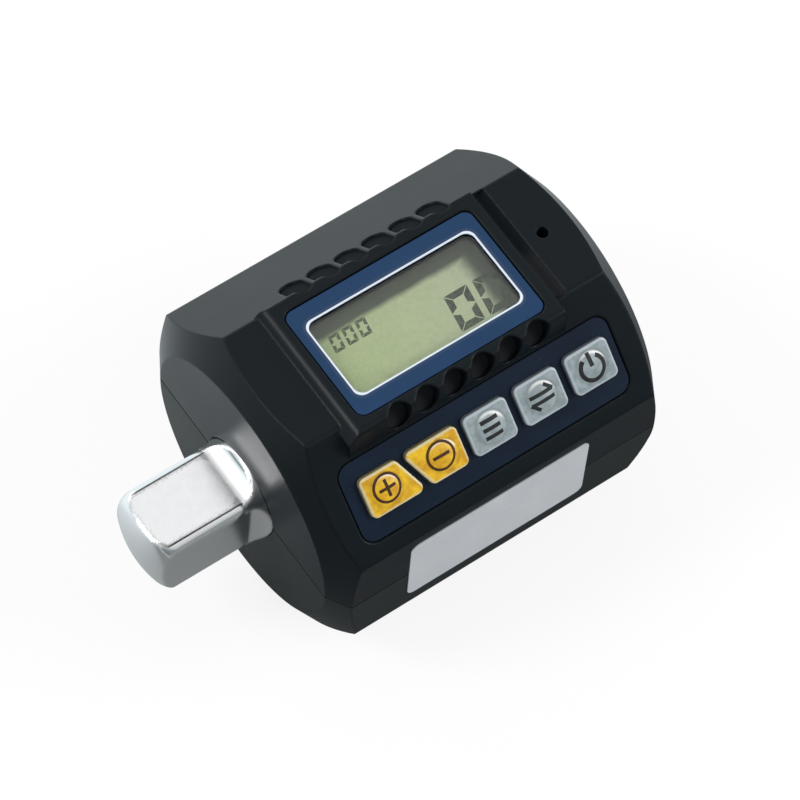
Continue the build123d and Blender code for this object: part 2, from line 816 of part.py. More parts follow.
# Torque shaft: turned body, milled male square with run-out ramps, gauged neck and female square
with BuildPart() as torque_shaft:
    with BuildSketch(Plane.XZ):
        with BuildLine():
            Polyline(
                (0, 0),
                (0, shank_radius),
                (collar_front_x, shank_radius),
                (collar_front_x, collar_radius),
                (collar_rear_x, collar_radius),
                (collar_rear_x, neck_radius),
                (boss_front_x, neck_radius),
                (boss_front_x, boss_radius),
                (flange_front_x, boss_radius),
                (flange_front_x, flange_radius),
                (flange_rear_x, flange_radius),
                (flange_rear_x, boss_radius),
                (mouth_x, boss_radius),
                (mouth_x, 0),
                close=True,
            )
        make_face()
    revolve(axis=Axis.X)
    for quarter in range(4):
        with BuildSketch(Plane.XZ.rotated((90 * quarter, 0, 0))):
            with BuildLine():
                ramp = TangentArc((0, half_drive), (runout_length, shank_radius), tangent=(1, 0))
                Polyline(
                    ramp @ 1,
                    (runout_length, 2 * half_drive),
                    (0, 2 * half_drive),
                    ramp @ 0,
                )
            make_face()
        extrude(amount=shank_radius, both=True, mode=Mode.SUBTRACT)
    with BuildSketch(Plane.YZ.offset(-drive_length)):
        RectangleRounded(drive_size, drive_size, drive_corner)
    extrude(amount=drive_length + collar_front_x)
    fillet(torque_shaft.faces().sort_by(Axis.X)[0].edges(), drive_tip_radius)

    # flats that carry the strain gauges, and flats on the flange that keep it from turning
    with BuildSketch(Plane.YZ.offset(gauge_centre_x - gauge_flat_length / 2)):
        Circle(neck_radius + wall)
        Rectangle(gauge_flat, gauge_flat, mode=Mode.SUBTRACT)
    extrude(amount=gauge_flat_length, mode=Mode.SUBTRACT)
    with BuildSketch(Plane.YZ.offset(flange_front_x)):
        with GridLocations(flange_across + 2 * wall, 0, 2, 1):
            Rectangle(2 * wall, 2 * flange_radius)
    extrude(amount=flange_width, mode=Mode.SUBTRACT)

    # female square with a bevelled mouth, ball recesses and a pilot at its floor
    with BuildSketch(Plane.YZ.offset(mouth_x)):
        RectangleRounded(socket_size, socket_size, socket_corner)
    extrude(amount=-socket_depth, mode=Mode.SUBTRACT)
    mouth = torque_shaft.faces().filter_by(Axis.X).sort_by(Axis.X)[-1]
    chamfer(mouth.inner_wires()[0].edges(), socket_mouth_bevel)
    with BuildSketch(Plane.YZ.offset(mouth_x - socket_depth)):
        Circle(socket_pilot_radius)
    extrude(amount=-socket_pilot_depth, mode=Mode.SUBTRACT)
    for turn in (0, 90):
        with Locations((mouth_x - socket_recess_from_mouth, 0, 0)):
            Cylinder(
                socket_recess_radius,
                socket_size + 2 * socket_recess_depth,
                rotation=(turn, 0, 0),
                mode=Mode.SUBTRACT,
            )

    # blind bore of the detent ball
    with BuildSketch(Plane.XY.offset(-half_drive)):
        with Locations((ball_x, 0)):
            Circle(ball_radius + ball_fit)
    extrude(amount=ball_bore_depth, mode=Mode.SUBTRACT)
torque_shaft.part.label = "torque_shaft"
export_step(torque_shaft.part, "parts/torque_shaft.step")

ball_z = -half_drive - ball_rise + ball_radius
with BuildPart() as detent_ball:
    with Locations((ball_x, 0, ball_z)):
        Sphere(ball_radius)
detent_ball.part.label = "detent_ball"
export_step(detent_ball.part, "parts/detent_ball.step")


# A coil spring of round wire, standing on its base at the origin
def coil_spring(radius, wire, height, turns):
    rise = height - 2 * wire
    with BuildPart() as spring:
        with BuildLine():
            coil = Helix(rise / turns, rise, radius, center=(0, 0, wire))
        with BuildSketch(Plane(origin=coil @ 0, z_dir=coil % 0)):
            Circle(wire)
        sweep(is_frenet=True)
    return spring.part


spring_foot_z = ball_z + ball_radius + seat_gap / 2
spring_height = -half_drive + ball_bore_depth - seat_gap / 2 - spring_foot_z
with BuildPart() as detent_spring:
    with Locations((ball_x, 0, spring_foot_z)):
        add(
            coil_spring(
                ball_radius - 2 * spring_wire_radius,
                spring_wire_radius,
                spring_height,
                spring_turns,
            )
        )
detent_spring.part.label = "detent_spring"
export_step(detent_spring.part, "parts/detent_spring.step")

with BuildPart() as front_seal:
    with BuildSketch(Plane.YZ.offset(front_inner_x - seal_width)):
        Circle(shank_radius + seal_thickness)
        Circle(shank_radius + seat_gap, mode=Mode.SUBTRACT)
    extrude(amount=seal_width)
front_seal.part.label = "front_seal"
export_step(front_seal.part, "parts/front_seal.step")

with BuildPart() as rear_seal:
    with BuildSketch(Plane.YZ.offset(rear_inner_x)):
        Circle(boss_radius + seal_thickness)
        Circle(boss_radius + seat_gap, mode=Mode.SUBTRACT)
    extrude(amount=seal_width)
rear_seal.part.label = "rear_seal"
export_step(rear_seal.part, "parts/rear_seal.step")

# Strain gauges on the four flats of the neck
with BuildPart() as strain_gauges:
    for quarter in range(4):
        with BuildSketch(Plane.XY.rotated((90 * quarter, 0, 0)).offset(gauge_flat / 2)):
            with Locations((gauge_centre_x, 0)):
                Rectangle(gauge_length, gauge_width)
        extrude(amount=gauge_thickness)
strain_gauges.part.label = "strain_gauges"
export_step(strain_gauges.part, "parts/strain_gauges.step")

# Lead strip from the upper gauge to the underside of the main board
with BuildPart() as lead_strip:
    strip_x = gauge_centre_x + gauge_length / 2 + seat_gap
    strip_z = gauge_flat / 2
    with BuildSketch(Plane.XZ):
        with BuildLine():
            Polyline(
                (strip_x, strip_z),
                (strip_x + lead_foot, strip_z),
                (strip_x + lead_foot, board_under_z),
                (strip_x + lead_foot - lead_thickness, board_under_z),
                (strip_x + lead_foot - lead_thickness, strip_z + lead_thickness),
                (strip_x, strip_z + lead_thickness),
                close=True,
            )
        make_face()
    extrude(amount=lead_width / 2, both=True)
lead_strip.part.label = "lead_strip"
export_step(lead_strip.part, "parts/lead_strip.step")

# Blue bezel with its printed line let into the face, and the window behind its opening
with BuildPart() as display_bezel:
    add(display_shape(bezel_floor_z, bezel_length, bezel_width, bezel_corner))
    extrude(amount=bezel_thickness)
    add(display_shape(bezel_floor_z, opening_length, opening_width, line_corner))
    extrude(amount=bezel_thickness, mode=Mode.SUBTRACT)
    add(
        display_shape(
            bezel_floor_z,
            opening_length + 2 * window_margin,
            opening_width + 2 * window_margin,
            line_corner,
        )
    )
    extrude(amount=bezel_thickness - window_sink, mode=Mode.SUBTRACT)
    add(
        display_shape(
            bezel_top_z - line_depth,
            line_length + line_stroke,
            line_width + line_stroke,
            line_corner + line_stroke / 2,
        )
    )
    extrude(amount=line_depth, mode=Mode.SUBTRACT)
display_bezel.part.label = "display_bezel"
export_step(display_bezel.part, "parts/display_bezel.step")

with BuildPart() as bezel_line:
    add(
        display_shape(
            bezel_top_z - line_depth,
            line_length + line_stroke,
            line_width + line_stroke,
            line_corner + line_stroke / 2,
        )
    )
    extrude(amount=line_depth)
    add(
        display_shape(
            bezel_top_z - line_depth,
            opening_length,
            opening_width,
            line_corner,
        )
    )
    extrude(amount=line_depth, mode=Mode.SUBTRACT)
bezel_line.part.label = "bezel_line"
export_step(bezel_line.part, "parts/bezel_line.step")

with BuildPart() as display_window:
    add(
        display_shape(
            bezel_floor_z,
            opening_length + 2 * window_margin - 2 * seat_gap,
            opening_width + 2 * window_margin - 2 * seat_gap,
            line_corner - seat_gap,
        )
    )
    extrude(amount=window_thickness)
display_window.part.label = "display_window"
export_step(display_window.part, "parts/display_window.step")


# A flat rectangular piece of the display stack
def stack_plate(under_z, length, width, height):
    with BuildPart() as plate:
        with Locations((display_x, display_y, under_z)):
            Box(length, width, height, align=(Align.CENTER, Align.CENTER, Align.MIN))
    return plate.part


with BuildPart() as display_glass:
    add(stack_plate(glass_under_z, glass_length, glass_width, glass_thickness))
display_glass.part.label = "display_glass"
export_step(display_glass.part, "parts/display_glass.step")

with BuildPart() as display_reflector:
    add(stack_plate(reflector_under_z, glass_length, reflector_width, reflector_thickness))
display_reflector.part.label = "display_reflector"
export_step(display_reflector.part, "parts/display_reflector.step")

with BuildPart() as display_holder:
    holder_height = reflector_under_z - board_top_z
    add(stack_plate(board_top_z, glass_length, reflector_width, holder_height))
    add(
        stack_plate(
            board_top_z,
            glass_length - 2 * holder_rim,
            reflector_width - 2 * holder_rim,
            holder_height,
        ),
        mode=Mode.SUBTRACT,
    )
display_holder.part.label = "display_holder"
export_step(display_holder.part, "parts/display_holder.step")

with BuildPart() as zebra_strips:
    with Locations((display_x, display_y, board_top_z)):
        with GridLocations(0, 2 * zebra_offset, 1, 2):
            Box(
                    glass_length - 2 * holder_rim,
                zebra_width,
                glass_under_z - board_top_z,
                align=(Align.CENTER, Align.CENTER, Align.MIN),
            )
zebra_strips.part.label = "zebra_strips"
export_step(zebra_strips.part, "parts/zebra_strips.step")

# Main board with its screws, chips and buzzer
with BuildPart() as main_board:
    with BuildSketch(Plane.XY.offset(board_under_z)):
        with Locations(((board_front_x + board_rear_x) / 2, board_centre_y)):
            Rectangle(board_rear_x - board_front_x, board_width)
    extrude(amount=board_thickness)
    with BuildSketch(Plane.XY.offset(board_under_z)):
        with Locations(board_posts):
            Circle(board_screw_radius + seat_gap)
    extrude(amount=board_thickness, mode=Mode.SUBTRACT)
main_board.part.label = "main_board"
export_step(main_board.part, "parts/main_board.step")

with BuildPart() as board_screws:
    with BuildSketch(Plane.XY.offset(board_under_z)):
        with Locations(board_posts):
            Circle(board_screw_head)
    extrude(amount=-board_screw_head_height)
    with BuildSketch(Plane.XY.offset(board_under_z)):
        with Locations(board_posts):
            Circle(board_screw_radius)
    extrude(amount=board_thickness + board_screw_grip)
board_screws.part.label = "board_screws"
export_step(board_screws.part, "parts/board_screws.step")


# A flat chip under the main board
def chip(place_x, size):
    with BuildPart() as package:
        with Locations((place_x, 0, board_under_z)):
            Box(size, size, chip_height, align=(Align.CENTER, Align.CENTER, Align.MAX))
    return package.part


with BuildPart() as controller_chip:
    add(chip(centre_x + controller_offset, controller_size))
controller_chip.part.label = "controller_chip"
export_step(controller_chip.part, "parts/controller_chip.step")

with BuildPart() as amplifier_chip:
    add(chip(centre_x + amplifier_offset, amplifier_size))
amplifier_chip.part.label = "amplifier_chip"
export_step(amplifier_chip.part, "parts/amplifier_chip.step")

with BuildPart() as buzzer:
    with BuildSketch(Plane.XY.offset(board_top_z)):
        with Locations((buzzer_x, buzzer_y)):
            Circle(buzzer_radius)
    extrude(amount=buzzer_height)
    with BuildSketch(Plane.XY.offset(board_top_z + buzzer_height)):
        with Locations((buzzer_x, buzzer_y)):
            Circle(sound_hole_radius)
    extrude(amount=-buzzer_height / 2, mode=Mode.SUBTRACT)
buzzer.part.label = "buzzer"
export_step(buzzer.part, "parts/buzzer.step")

# Key overlay with a hole for each key
with BuildPart() as key_overlay:
    with BuildSketch(near_slope.offset(-overlay_floor)):
        with Locations(overlay_place):
            RectangleRounded(overlay_length, overlay_height, overlay_corner)
    extrude(amount=overlay_thickness)
    for outline in key_outlines(key_fit):
        with BuildSketch(near_slope.offset(-overlay_floor)):
            add(outline)
        extrude(amount=overlay_thickness, mode=Mode.SUBTRACT)
key_overlay.part.label = "key_overlay"
export_step(key_overlay.part, "parts/key_overlay.step")


# One key: flange under the overlay, rounded cap with a low dome, and a stem to its switch
def key_body(outline, flange_outline, place_x):
    stem_end = key_board_depth - switch_height + switch_entry
    dome_ball = (key_dome_radius**2 + key_dome_rise**2) / (2 * key_dome_rise)
    foot = near_slope.from_local_coords((place_x, -key_row_down, 0))
    stroke = Axis(foot, near_slope.z_dir)
    with BuildPart() as key:
        with BuildSketch(near_slope.offset(-overlay_floor - key_flange_thickness - seat_gap)):
            add(flange_outline)
        extrude(amount=key_flange_thickness)
        with BuildSketch(near_slope.offset(-overlay_floor - seat_gap)):
            add(outline)
        extrude(amount=overlay_floor + seat_gap + key_rise)
        fillet(key.faces().sort_by(stroke)[-1].edges(), key_edge_radius)
        with BuildSketch(Plane(foot, x_dir=(1, 0, 0), z_dir=(0, -1, -1))):
            with BuildLine():
                crown = Line((0, key_rise / 2), (0, key_rise + key_dome_rise))
                cap = RadiusArc(crown @ 1, (key_dome_radius, key_rise), dome_ball)
                Polyline(cap @ 1, (key_dome_radius, key_rise / 2), crown @ 0)
            make_face()
        revolve(axis=stroke)
        with BuildSketch(near_slope.offset(-overlay_floor - key_flange_thickness)):
            with Locations((place_x, -key_row_down)):
                Circle(key_stem_radius)
        extrude(amount=-(stem_end - overlay_floor - key_flange_thickness))
    return key.part


key_shapes = key_outlines(0)
flange_shapes = key_outlines(key_flange_margin)

with BuildPart() as key_plus:
    add(key_body(key_shapes[0], flange_shapes[0], key_xs[0]))
key_plus.part.label = "key_plus"
export_step(key_plus.part, "parts/key_plus.step")

with BuildPart() as key_minus:
    add(key_body(key_shapes[1], flange_shapes[1], key_xs[1]))
key_minus.part.label = "key_minus"
export_step(key_minus.part, "parts/key_minus.step")

with BuildPart() as key_mode:
    add(key_body(key_shapes[2], flange_shapes[2], key_xs[2]))
key_mode.part.label = "key_mode"
export_step(key_mode.part, "parts/key_mode.step")

with BuildPart() as key_unit:
    add(key_body(key_shapes[3], flange_shapes[3], key_xs[3]))
key_unit.part.label = "key_unit"
export_step(key_unit.part, "parts/key_unit.step")

with BuildPart() as key_power:
    add(key_body(key_shapes[4], flange_shapes[4], key_xs[4]))
key_power.part.label = "key_power"
export_step(key_power.part, "parts/key_power.step")

# Key board and the switch under each key
with BuildPart() as key_board:
    with BuildSketch(near_slope.offset(-key_board_depth)):
        with Locations((key_board_centre_x, -(key_board_top_down + key_board_bottom_down) / 2)):
            Rectangle(key_board_length, key_board_bottom_down - key_board_top_down)
    extrude(amount=-key_board_thickness)
key_board.part.label = "key_board"
export_step(key_board.part, "parts/key_board.step")

with BuildPart() as key_switches:
    switch_places = [(place_x, -key_row_down) for place_x in key_xs]
    with BuildSketch(near_slope.offset(-key_board_depth)):
        with Locations(switch_places):
            Rectangle(switch_size, switch_size)
    extrude(amount=switch_height)
    with BuildSketch(near_slope.offset(-key_board_depth + switch_floor)):
        with Locations(switch_places):
            Circle(switch_hole_radius)
    extrude(amount=switch_height, mode=Mode.SUBTRACT)
key_switches.part.label = "key_switches"
export_step(key_switches.part, "parts/key_switches.step")


# A cell lying along X, with its nub at the front or at the rear
def cell(place_y, nub_end_x, direction):
    with BuildPart() as body:
        with BuildSketch(Plane.YZ.offset(nub_end_x)):
            with Locations((place_y, cell_z)):
                Circle(cell_nub_radius)
        extrude(amount=direction * cell_nub_length)
        with BuildSketch(Plane.YZ.offset(nub_end_x + direction * cell_nub_length)):
            with Locations((place_y, cell_z)):
                Circle(cell_radius)
        extrude(amount=direction * (cell_length - cell_nub_length - 2 * seat_gap))
    return body.part


front_nub_x = tray_front_x + plate_thickness + seat_gap
rear_nub_x = tray_rear_x - plate_thickness - seat_gap
with BuildPart() as cell_near:
    add(cell(-cell_y, front_nub_x, 1))
cell_near.part.label = "cell_near"
export_step(cell_near.part, "parts/cell_near.step")

with BuildPart() as cell_far:
    add(cell(cell_y, rear_nub_x, -1))
cell_far.part.label = "cell_far"
export_step(cell_far.part, "parts/cell_far.step")

# Flat contacts on both ribs and coil contacts at the negative ends
with BuildPart() as contact_plates:
    for plate_x in (tray_front_x, tray_rear_x - plate_thickness):
        with BuildSketch(Plane.YZ.offset(plate_x)):
            with Locations((0, cell_z - plate_drop)):
                with GridLocations(2 * cell_y, 0, 2, 1):
                    Rectangle(plate_width, plate_height)
        extrude(amount=plate_thickness)
contact_plates.part.label = "contact_plates"
export_step(contact_plates.part, "parts/contact_plates.step")

with BuildPart() as contact_coils:
    front_base = Plane(origin=(front_nub_x, cell_y, cell_z), z_dir=(1, 0, 0))
    rear_base = Plane(origin=(rear_nub_x, -cell_y, cell_z), z_dir=(-1, 0, 0))
    with Locations(front_base, rear_base):
        add(
            coil_spring(
                contact_coil_radius,
                contact_wire_radius,
                contact_space - 2 * seat_gap,
                contact_turns,
            )
        )
contact_coils.part.label = "contact_coils"
export_step(contact_coils.part, "parts/contact_coils.step")

# Side label, laid across the parting line
with BuildPart() as side_label:
    label_plane = Plane(origin=(0, -half_across, 0), x_dir=(1, 0, 0), z_dir=(0, -1, 0))
    with BuildSketch(label_plane):
        with Locations(((label_left_x + label_right_x) / 2, (label_top_z + label_bottom_z) / 2)):
            RectangleRounded(label_right_x - label_left_x, label_top_z - label_bottom_z, label_corner)
    extrude(amount=label_thickness)
side_label.part.label = "side_label"
export_step(side_label.part, "parts/side_label.step")
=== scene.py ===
import math

import bmesh
import bpy
from mathutils import Matrix, Vector
from mathutils.bvhtree import BVHTree


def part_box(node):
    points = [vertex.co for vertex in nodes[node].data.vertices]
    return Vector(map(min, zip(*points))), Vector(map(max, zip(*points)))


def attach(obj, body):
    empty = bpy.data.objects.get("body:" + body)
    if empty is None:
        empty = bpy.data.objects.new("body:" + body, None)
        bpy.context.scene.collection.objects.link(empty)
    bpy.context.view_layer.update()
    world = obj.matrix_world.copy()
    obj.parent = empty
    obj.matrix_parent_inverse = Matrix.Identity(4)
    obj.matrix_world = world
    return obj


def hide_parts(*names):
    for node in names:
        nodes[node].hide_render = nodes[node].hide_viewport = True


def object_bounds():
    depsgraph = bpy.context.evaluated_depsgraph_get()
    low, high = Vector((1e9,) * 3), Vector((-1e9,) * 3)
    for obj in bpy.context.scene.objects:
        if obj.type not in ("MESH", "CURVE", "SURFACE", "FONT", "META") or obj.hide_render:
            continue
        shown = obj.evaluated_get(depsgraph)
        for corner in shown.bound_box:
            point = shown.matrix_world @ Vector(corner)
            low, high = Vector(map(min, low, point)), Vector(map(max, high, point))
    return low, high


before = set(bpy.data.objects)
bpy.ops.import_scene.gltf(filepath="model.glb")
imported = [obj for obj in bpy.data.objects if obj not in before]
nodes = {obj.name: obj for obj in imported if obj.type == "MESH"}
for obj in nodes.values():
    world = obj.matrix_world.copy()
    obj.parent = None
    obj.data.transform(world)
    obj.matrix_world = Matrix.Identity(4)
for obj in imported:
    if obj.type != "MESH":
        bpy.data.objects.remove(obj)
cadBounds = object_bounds()
mm = 0.001
print("frame loaded:", len(nodes), "nodes")

# Places on the housing, in millimetres, in the shared frame
housing = {"across": 51.4, "halfFlat": 10.6453}
halfAcross = housing["across"] / 2
slopeTop = halfAcross - housing["halfFlat"]  # y plus z where the near slope starts
slopeRim = halfAcross + housing["halfFlat"]  # z less y on the near slope, z plus y on the far one
diagonal = math.sqrt(0.5)
keyRow = {"down": 11.8, "height": 6.6, "width": 7.6, "corner": 1.0, "rise": 0.9}
yellowKeys = {"left": 11.6, "right": 28.7, "splitTop": 18.6965, "splitBottom": 21.6035, "gap": 1.1}
keyCentres = {"plus": 15.148, "minus": 25.152, "mode": 33.7, "unit": 42.8, "power": 51.9}
displayPlace = {"x": 32.25, "y": -1.55, "length": 29.25, "width": 14.05}


def tone(red, green, blue):  # a colour as it is seen, 0 to 255, turned into light values
    def channel(value):
        value = value / 255
        return value / 12.92 if value <= 0.04045 else ((value + 0.055) / 1.055) ** 2.4
    return (channel(red), channel(green), channel(blue), 1.0)


def dimmed(colour, share):
    return tuple(value * share for value in colour)


class Number:  # a number in a node tree that takes part in plain arithmetic
    def __init__(self, tree, socket):
        self.tree = tree
        self.socket = socket

    def do(self, operation, *values):
        inputs = dict(enumerate(values))
        return self.tree.number("ShaderNodeMath", {"operation": operation}, inputs)

    def __add__(self, other):
        return self.do("ADD", self, other)

    __radd__ = __add__

    def __sub__(self, other):
        return self.do("SUBTRACT", self, other)

    def __rsub__(self, other):
        return self.do("SUBTRACT", other, self)

    def __mul__(self, other):
        return self.do("MULTIPLY", self, other)

    __rmul__ = __mul__

    def __truediv__(self, other):
        return self.do("DIVIDE", self, other)

    def __abs__(self):
        return self.do("ABSOLUTE", self)

    def __pow__(self, other):
        return self.do("POWER", self, other)

    def most(self, other):
        return self.do("MAXIMUM", self, other)

    def least(self, other):
        return self.do("MINIMUM", self, other)

    def sine(self):
        return self.do("SINE", self)

    def root(self):
        return self.do("SQRT", self)

    def ramp(self, low, high):  # 0 below low, 1 above high, smooth between
        settings = {"interpolation_type": "SMOOTHSTEP"}
        inputs = {"Value": self, "From Min": low, "From Max": high}
        return self.tree.number("ShaderNodeMapRange", settings, inputs)


class Tree:  # a node tree that is written top to bottom
    def __init__(self, tree):
        self.tree = tree

    def add(self, kind, settings=None, inputs=None):
        node = self.tree.nodes.new(kind)
        for name, value in (settings or {}).items():
            setattr(node, name, value)
        for name, value in (inputs or {}).items():
            self.plug(node.inputs[name], value)
        return node

    def plug(self, socket, value):
        if isinstance(value, Number):
            value = value.socket
        if isinstance(value, bpy.types.NodeSocket):
            self.tree.links.new(value, socket)
        else:
            socket.default_value = value

    def number(self, kind, settings=None, inputs=None):
        return Number(self, self.add(kind, settings, inputs).outputs[0])

    def mix(self, factor, *colours):  # a colour is a triple of 0 to 255, four light values or a socket
        first, second = [
            tone(*colour) if isinstance(colour, tuple) and len(colour) == 3 else colour
            for colour in colours
        ]
        node = self.add("ShaderNodeMix", {"data_type": "RGBA"}, {0: factor, 6: first, 7: second})
        return node.outputs[2]

    def split(self, vector):
        parts = self.add("ShaderNodeSeparateXYZ", None, {0: vector}).outputs
        return [Number(self, part) for part in parts]

    def rays(self):  # 1 where the camera looks, straight or through glass, and 1 in reflections
        path = self.add("ShaderNodeLightPath").outputs
        kinds = ("Is Camera Ray", "Is Transmission Ray", "Is Glossy Ray")
        straight, through, mirrored = [Number(self, path[kind]) for kind in kinds]
        return straight.most(through), mirrored


shaderSockets = {
    "colour": "Base Color", "roughness": "Roughness", "metal": "Metallic", "level": "Specular IOR Level",
    "coat": "Coat Weight", "coatRoughness": "Coat Roughness", "clear": "Transmission Weight",
    "bend": "IOR",
}


class Finish(Tree):  # one procedural material, with its sizes and places in millimetres
    def __init__(self, name):
        self.material = bpy.data.materials.new(name)
        self.material.use_nodes = True
        super().__init__(self.material.node_tree)
        self.shader = self.tree.nodes["Principled BSDF"]
        self.place = self.add("ShaderNodeTexCoord").outputs["Object"]

    def axes(self):
        return [part / mm for part in self.split(self.place)]

    def facing(self):
        return self.split(self.add("ShaderNodeNewGeometry").outputs["Normal"])

    def stretched(self, share):  # the place with its X shrunk, which draws a pattern out along X
        inputs = {0: self.place, 1: (share, 1, 1)}
        return self.add("ShaderNodeVectorMath", {"operation": "MULTIPLY"}, inputs).outputs[0]

    def noise(self, size, detail=3, rough=0.55, place=None):
        inputs = {"Vector": place or self.place, "Scale": 1 / (size * mm)}
        return self.number("ShaderNodeTexNoise", None, {**inputs, "Detail": detail, "Roughness": rough})

    def cells(self, size):
        return self.number("ShaderNodeTexVoronoi", None, {"Vector": self.place, "Scale": 1 / (size * mm)})

    def relief(self, height, depth, edge=0):  # edge is the radius that sharp edges are shaded with
        inputs = {"Height": height, "Distance": depth * mm, "Strength": 1}
        if edge:
            bevel = self.add("ShaderNodeBevel", {"samples": 6}, {"Radius": edge * mm})
            inputs["Normal"] = bevel.outputs[0]
        self.plug(self.shader.inputs["Normal"], self.add("ShaderNodeBump", None, inputs).outputs[0])

    def shade(self, **values):
        for name, value in values.items():
            self.plug(self.shader.inputs[shaderSockets[name]], value)
        return self.material


# Finishes of the housing

# tone is the paler colour painted into the near flutes as painted light against their shade
shelter = {
    "depth": (0.1, 0.35), "row": (9.0, 57.0), "rowSoft": 1, "height": (12, 14), "nearSide": (0, 4),
    "tone": (36, 38, 41), "rough": 0.9,
}


def sheltered(x, y, z):  # 1 in the flutes and grooves below the housing's top faces, 0 on the faces
    top = halfAcross - z
    far = (slopeRim - y - z) * diagonal
    near = (slopeRim + y - z) * diagonal
    first, last = shelter["row"]
    soft = shelter["rowSoft"]
    inRow = x.ramp(first, first + soft) * (1 - x.ramp(last - soft, last)) * z.ramp(*shelter["height"])
    return top.least(far).least(near).ramp(*shelter["depth"]) * inRow


plasticLook = {
    "cloud": 14, "dust": 0.35, "dusty": (0.74, 0.8), "patch": 5, "patchy": (0.5, 0.7),
    "dustTone": (80, 82, 86), "dustShare": 0.2, "depth": 0.006, "seam": (0.12, 0.22),
    "cloudRough": 0.08, "grainRough": 0.05, "dustRough": 0.2,
}


def blackPlastic(name, dark, light, grain, gloss, level, edge):
    look = plasticLook
    finish = Finish(name)
    cloud = finish.noise(look["cloud"], detail=2)
    fine = finish.noise(grain, rough=0.6)
    patches = finish.noise(look["patch"], detail=1).ramp(*look["patchy"])
    dust = finish.noise(look["dust"], detail=1).ramp(*look["dusty"]) * patches
    colour = finish.mix(cloud, dark, light)
    colour = finish.mix(dust * look["dustShare"], colour, look["dustTone"])
    finish.relief(fine, look["depth"], edge)
    x, y, z = finish.axes()
    seam = 1 - abs(z).ramp(*look["seam"])
    inside = sheltered(x, y, z)
    # painted light: the flutes on the near side take a paler tone that lifts their shade
    colour = finish.mix(inside * (0 - y).ramp(*shelter["nearSide"]), colour, shelter["tone"])
    roughness = gloss + cloud * look["cloudRough"] + fine * look["grainRough"] + dust * look["dustRough"]
    roughness = roughness.most(seam).most(inside * shelter["rough"])
    return finish.shade(colour=colour, roughness=roughness, level=level)


rubberLook = {
    "grain": 0.12, "depth": 0.02, "dark": (22, 22, 24), "light": (40, 40, 42),
    "rough": 0.62, "grainRough": 0.1, "level": 0.3,
}


def rubber(name):
    look = rubberLook
    finish = Finish(name)
    fine = finish.noise(look["grain"])
    finish.relief(fine, look["depth"])
    colour = finish.mix(fine, look["dark"], look["light"])
    roughness = fine * look["grainRough"] + look["rough"]
    return finish.shade(colour=colour, roughness=roughness, level=look["level"])


# Finishes of the metal pieces

chromeLook = {
    # the ground flats of the square
    "flat": (0.985, 0.999), "flatFrom": (-0.4, 0.1), "flatTo": (14.0, 14.9),
    "mottle": 1.6, "mottleWear": 0.35, "mottleBump": 0.6, "mottleRough": 0.1,
    "scratch": 0.5, "drawn": 0.06, "scratched": (0.63, 0.75), "scratchWear": 0.25, "scratchBump": 0.25,
    "speck": 0.22, "specked": (0.7, 0.78), "speckShare": 0.3,
    "smudge": 0.45, "smudged": (0.42, 0.75), "smudgeShare": 0.42,
    "smudgeSide": 3.5, "smudgeTip": 12.6, "smudgeShank": 1.5, "sideSoft": (0, 1.1), "endSoft": (0, 1.2),
    "clean": (244, 245, 246), "worn": (226, 227, 228), "grime": (112, 114, 116),
    # the cast face between the flats and the shank, and a painted dark reflection beside the top flat
    "runoutFrom": (-0.2, 0.3), "runoutTo": (3.4, 3.8),
    "cast": (0.72, 0.9), "castTone": (252, 253, 254), "castShare": 0.9, "castRough": 0.34,
    "borderFrom": (0.955, 0.97), "borderTo": (0.985, 0.995), "borderSide": (4.1, 4.4),
    "darkReflectionTone": (30, 32, 34), "darkReflectionShare": 0.85,
    "wave": 6, "waveBump": 0.3, "depth": 0.012, "edge": 0.9,
    "rough": 0.06, "groundRough": 0.1, "speckRough": 0.04,
}


def chrome(name):  # polished steel, ground dull on the flats of the square
    look = chromeLook
    finish = Finish(name)
    x, y = finish.axes()[:2]
    sideways, upwards = finish.facing()[1:]
    out = 0 - x  # millimetres out from where the flats end
    flat = abs(upwards).most(abs(sideways)).ramp(*look["flat"])
    onSquare = out.ramp(*look["flatFrom"]) * (1 - out.ramp(*look["flatTo"]))
    ground = flat * onSquare
    mottle = finish.noise(look["mottle"], detail=5, rough=0.7)
    drawn = finish.stretched(look["drawn"])
    scratches = finish.noise(look["scratch"], 4, 0.6, drawn).ramp(*look["scratched"])
    specks = finish.noise(look["speck"], detail=2).ramp(*look["specked"])
    rim = (abs(y) - look["smudgeSide"]).ramp(*look["sideSoft"])
    rim = rim + (out - look["smudgeTip"]).ramp(*look["endSoft"])
    rim = rim + (look["smudgeShank"] - out).ramp(*look["endSoft"])
    smudge = (rim * finish.noise(look["smudge"], detail=4, rough=0.7)).ramp(*look["smudged"])
    smudge = smudge * upwards.ramp(*look["flat"])
    worn = mottle * look["mottleWear"] + scratches * look["scratchWear"]
    colour = finish.mix(ground * worn, look["clean"], look["worn"])
    grime = specks * look["speckShare"] + smudge * look["smudgeShare"]
    colour = finish.mix(ground * grime, colour, look["grime"])
    runout = (1 - out.ramp(*look["runoutFrom"])) * (1 - x.ramp(*look["runoutTo"]))
    cast = runout * upwards.ramp(*look["cast"])
    colour = finish.mix(cast * look["castShare"], colour, look["castTone"])
    # painted reflection: a dark line on the rounded edge beside the top flat, where the room's dark
    # overhead parts would show
    paintedReflection = upwards.ramp(*look["borderFrom"]) * (1 - upwards.ramp(*look["borderTo"]))
    paintedReflection = paintedReflection * onSquare * abs(y).ramp(*look["borderSide"])
    colour = finish.mix(paintedReflection * look["darkReflectionShare"], colour, look["darkReflectionTone"])
    bumps = mottle * ground * look["mottleBump"] + scratches * ground * look["scratchBump"]
    bumps = bumps + finish.noise(look["wave"], detail=1) * look["waveBump"]
    finish.relief(bumps, look["depth"], look["edge"])
    roughness = look["rough"] + ground * (look["groundRough"] + mottle * look["mottleRough"])
    roughness = roughness + specks * look["speckRough"] + cast * look["castRough"]
    return finish.shade(colour=colour, roughness=roughness, metal=1)


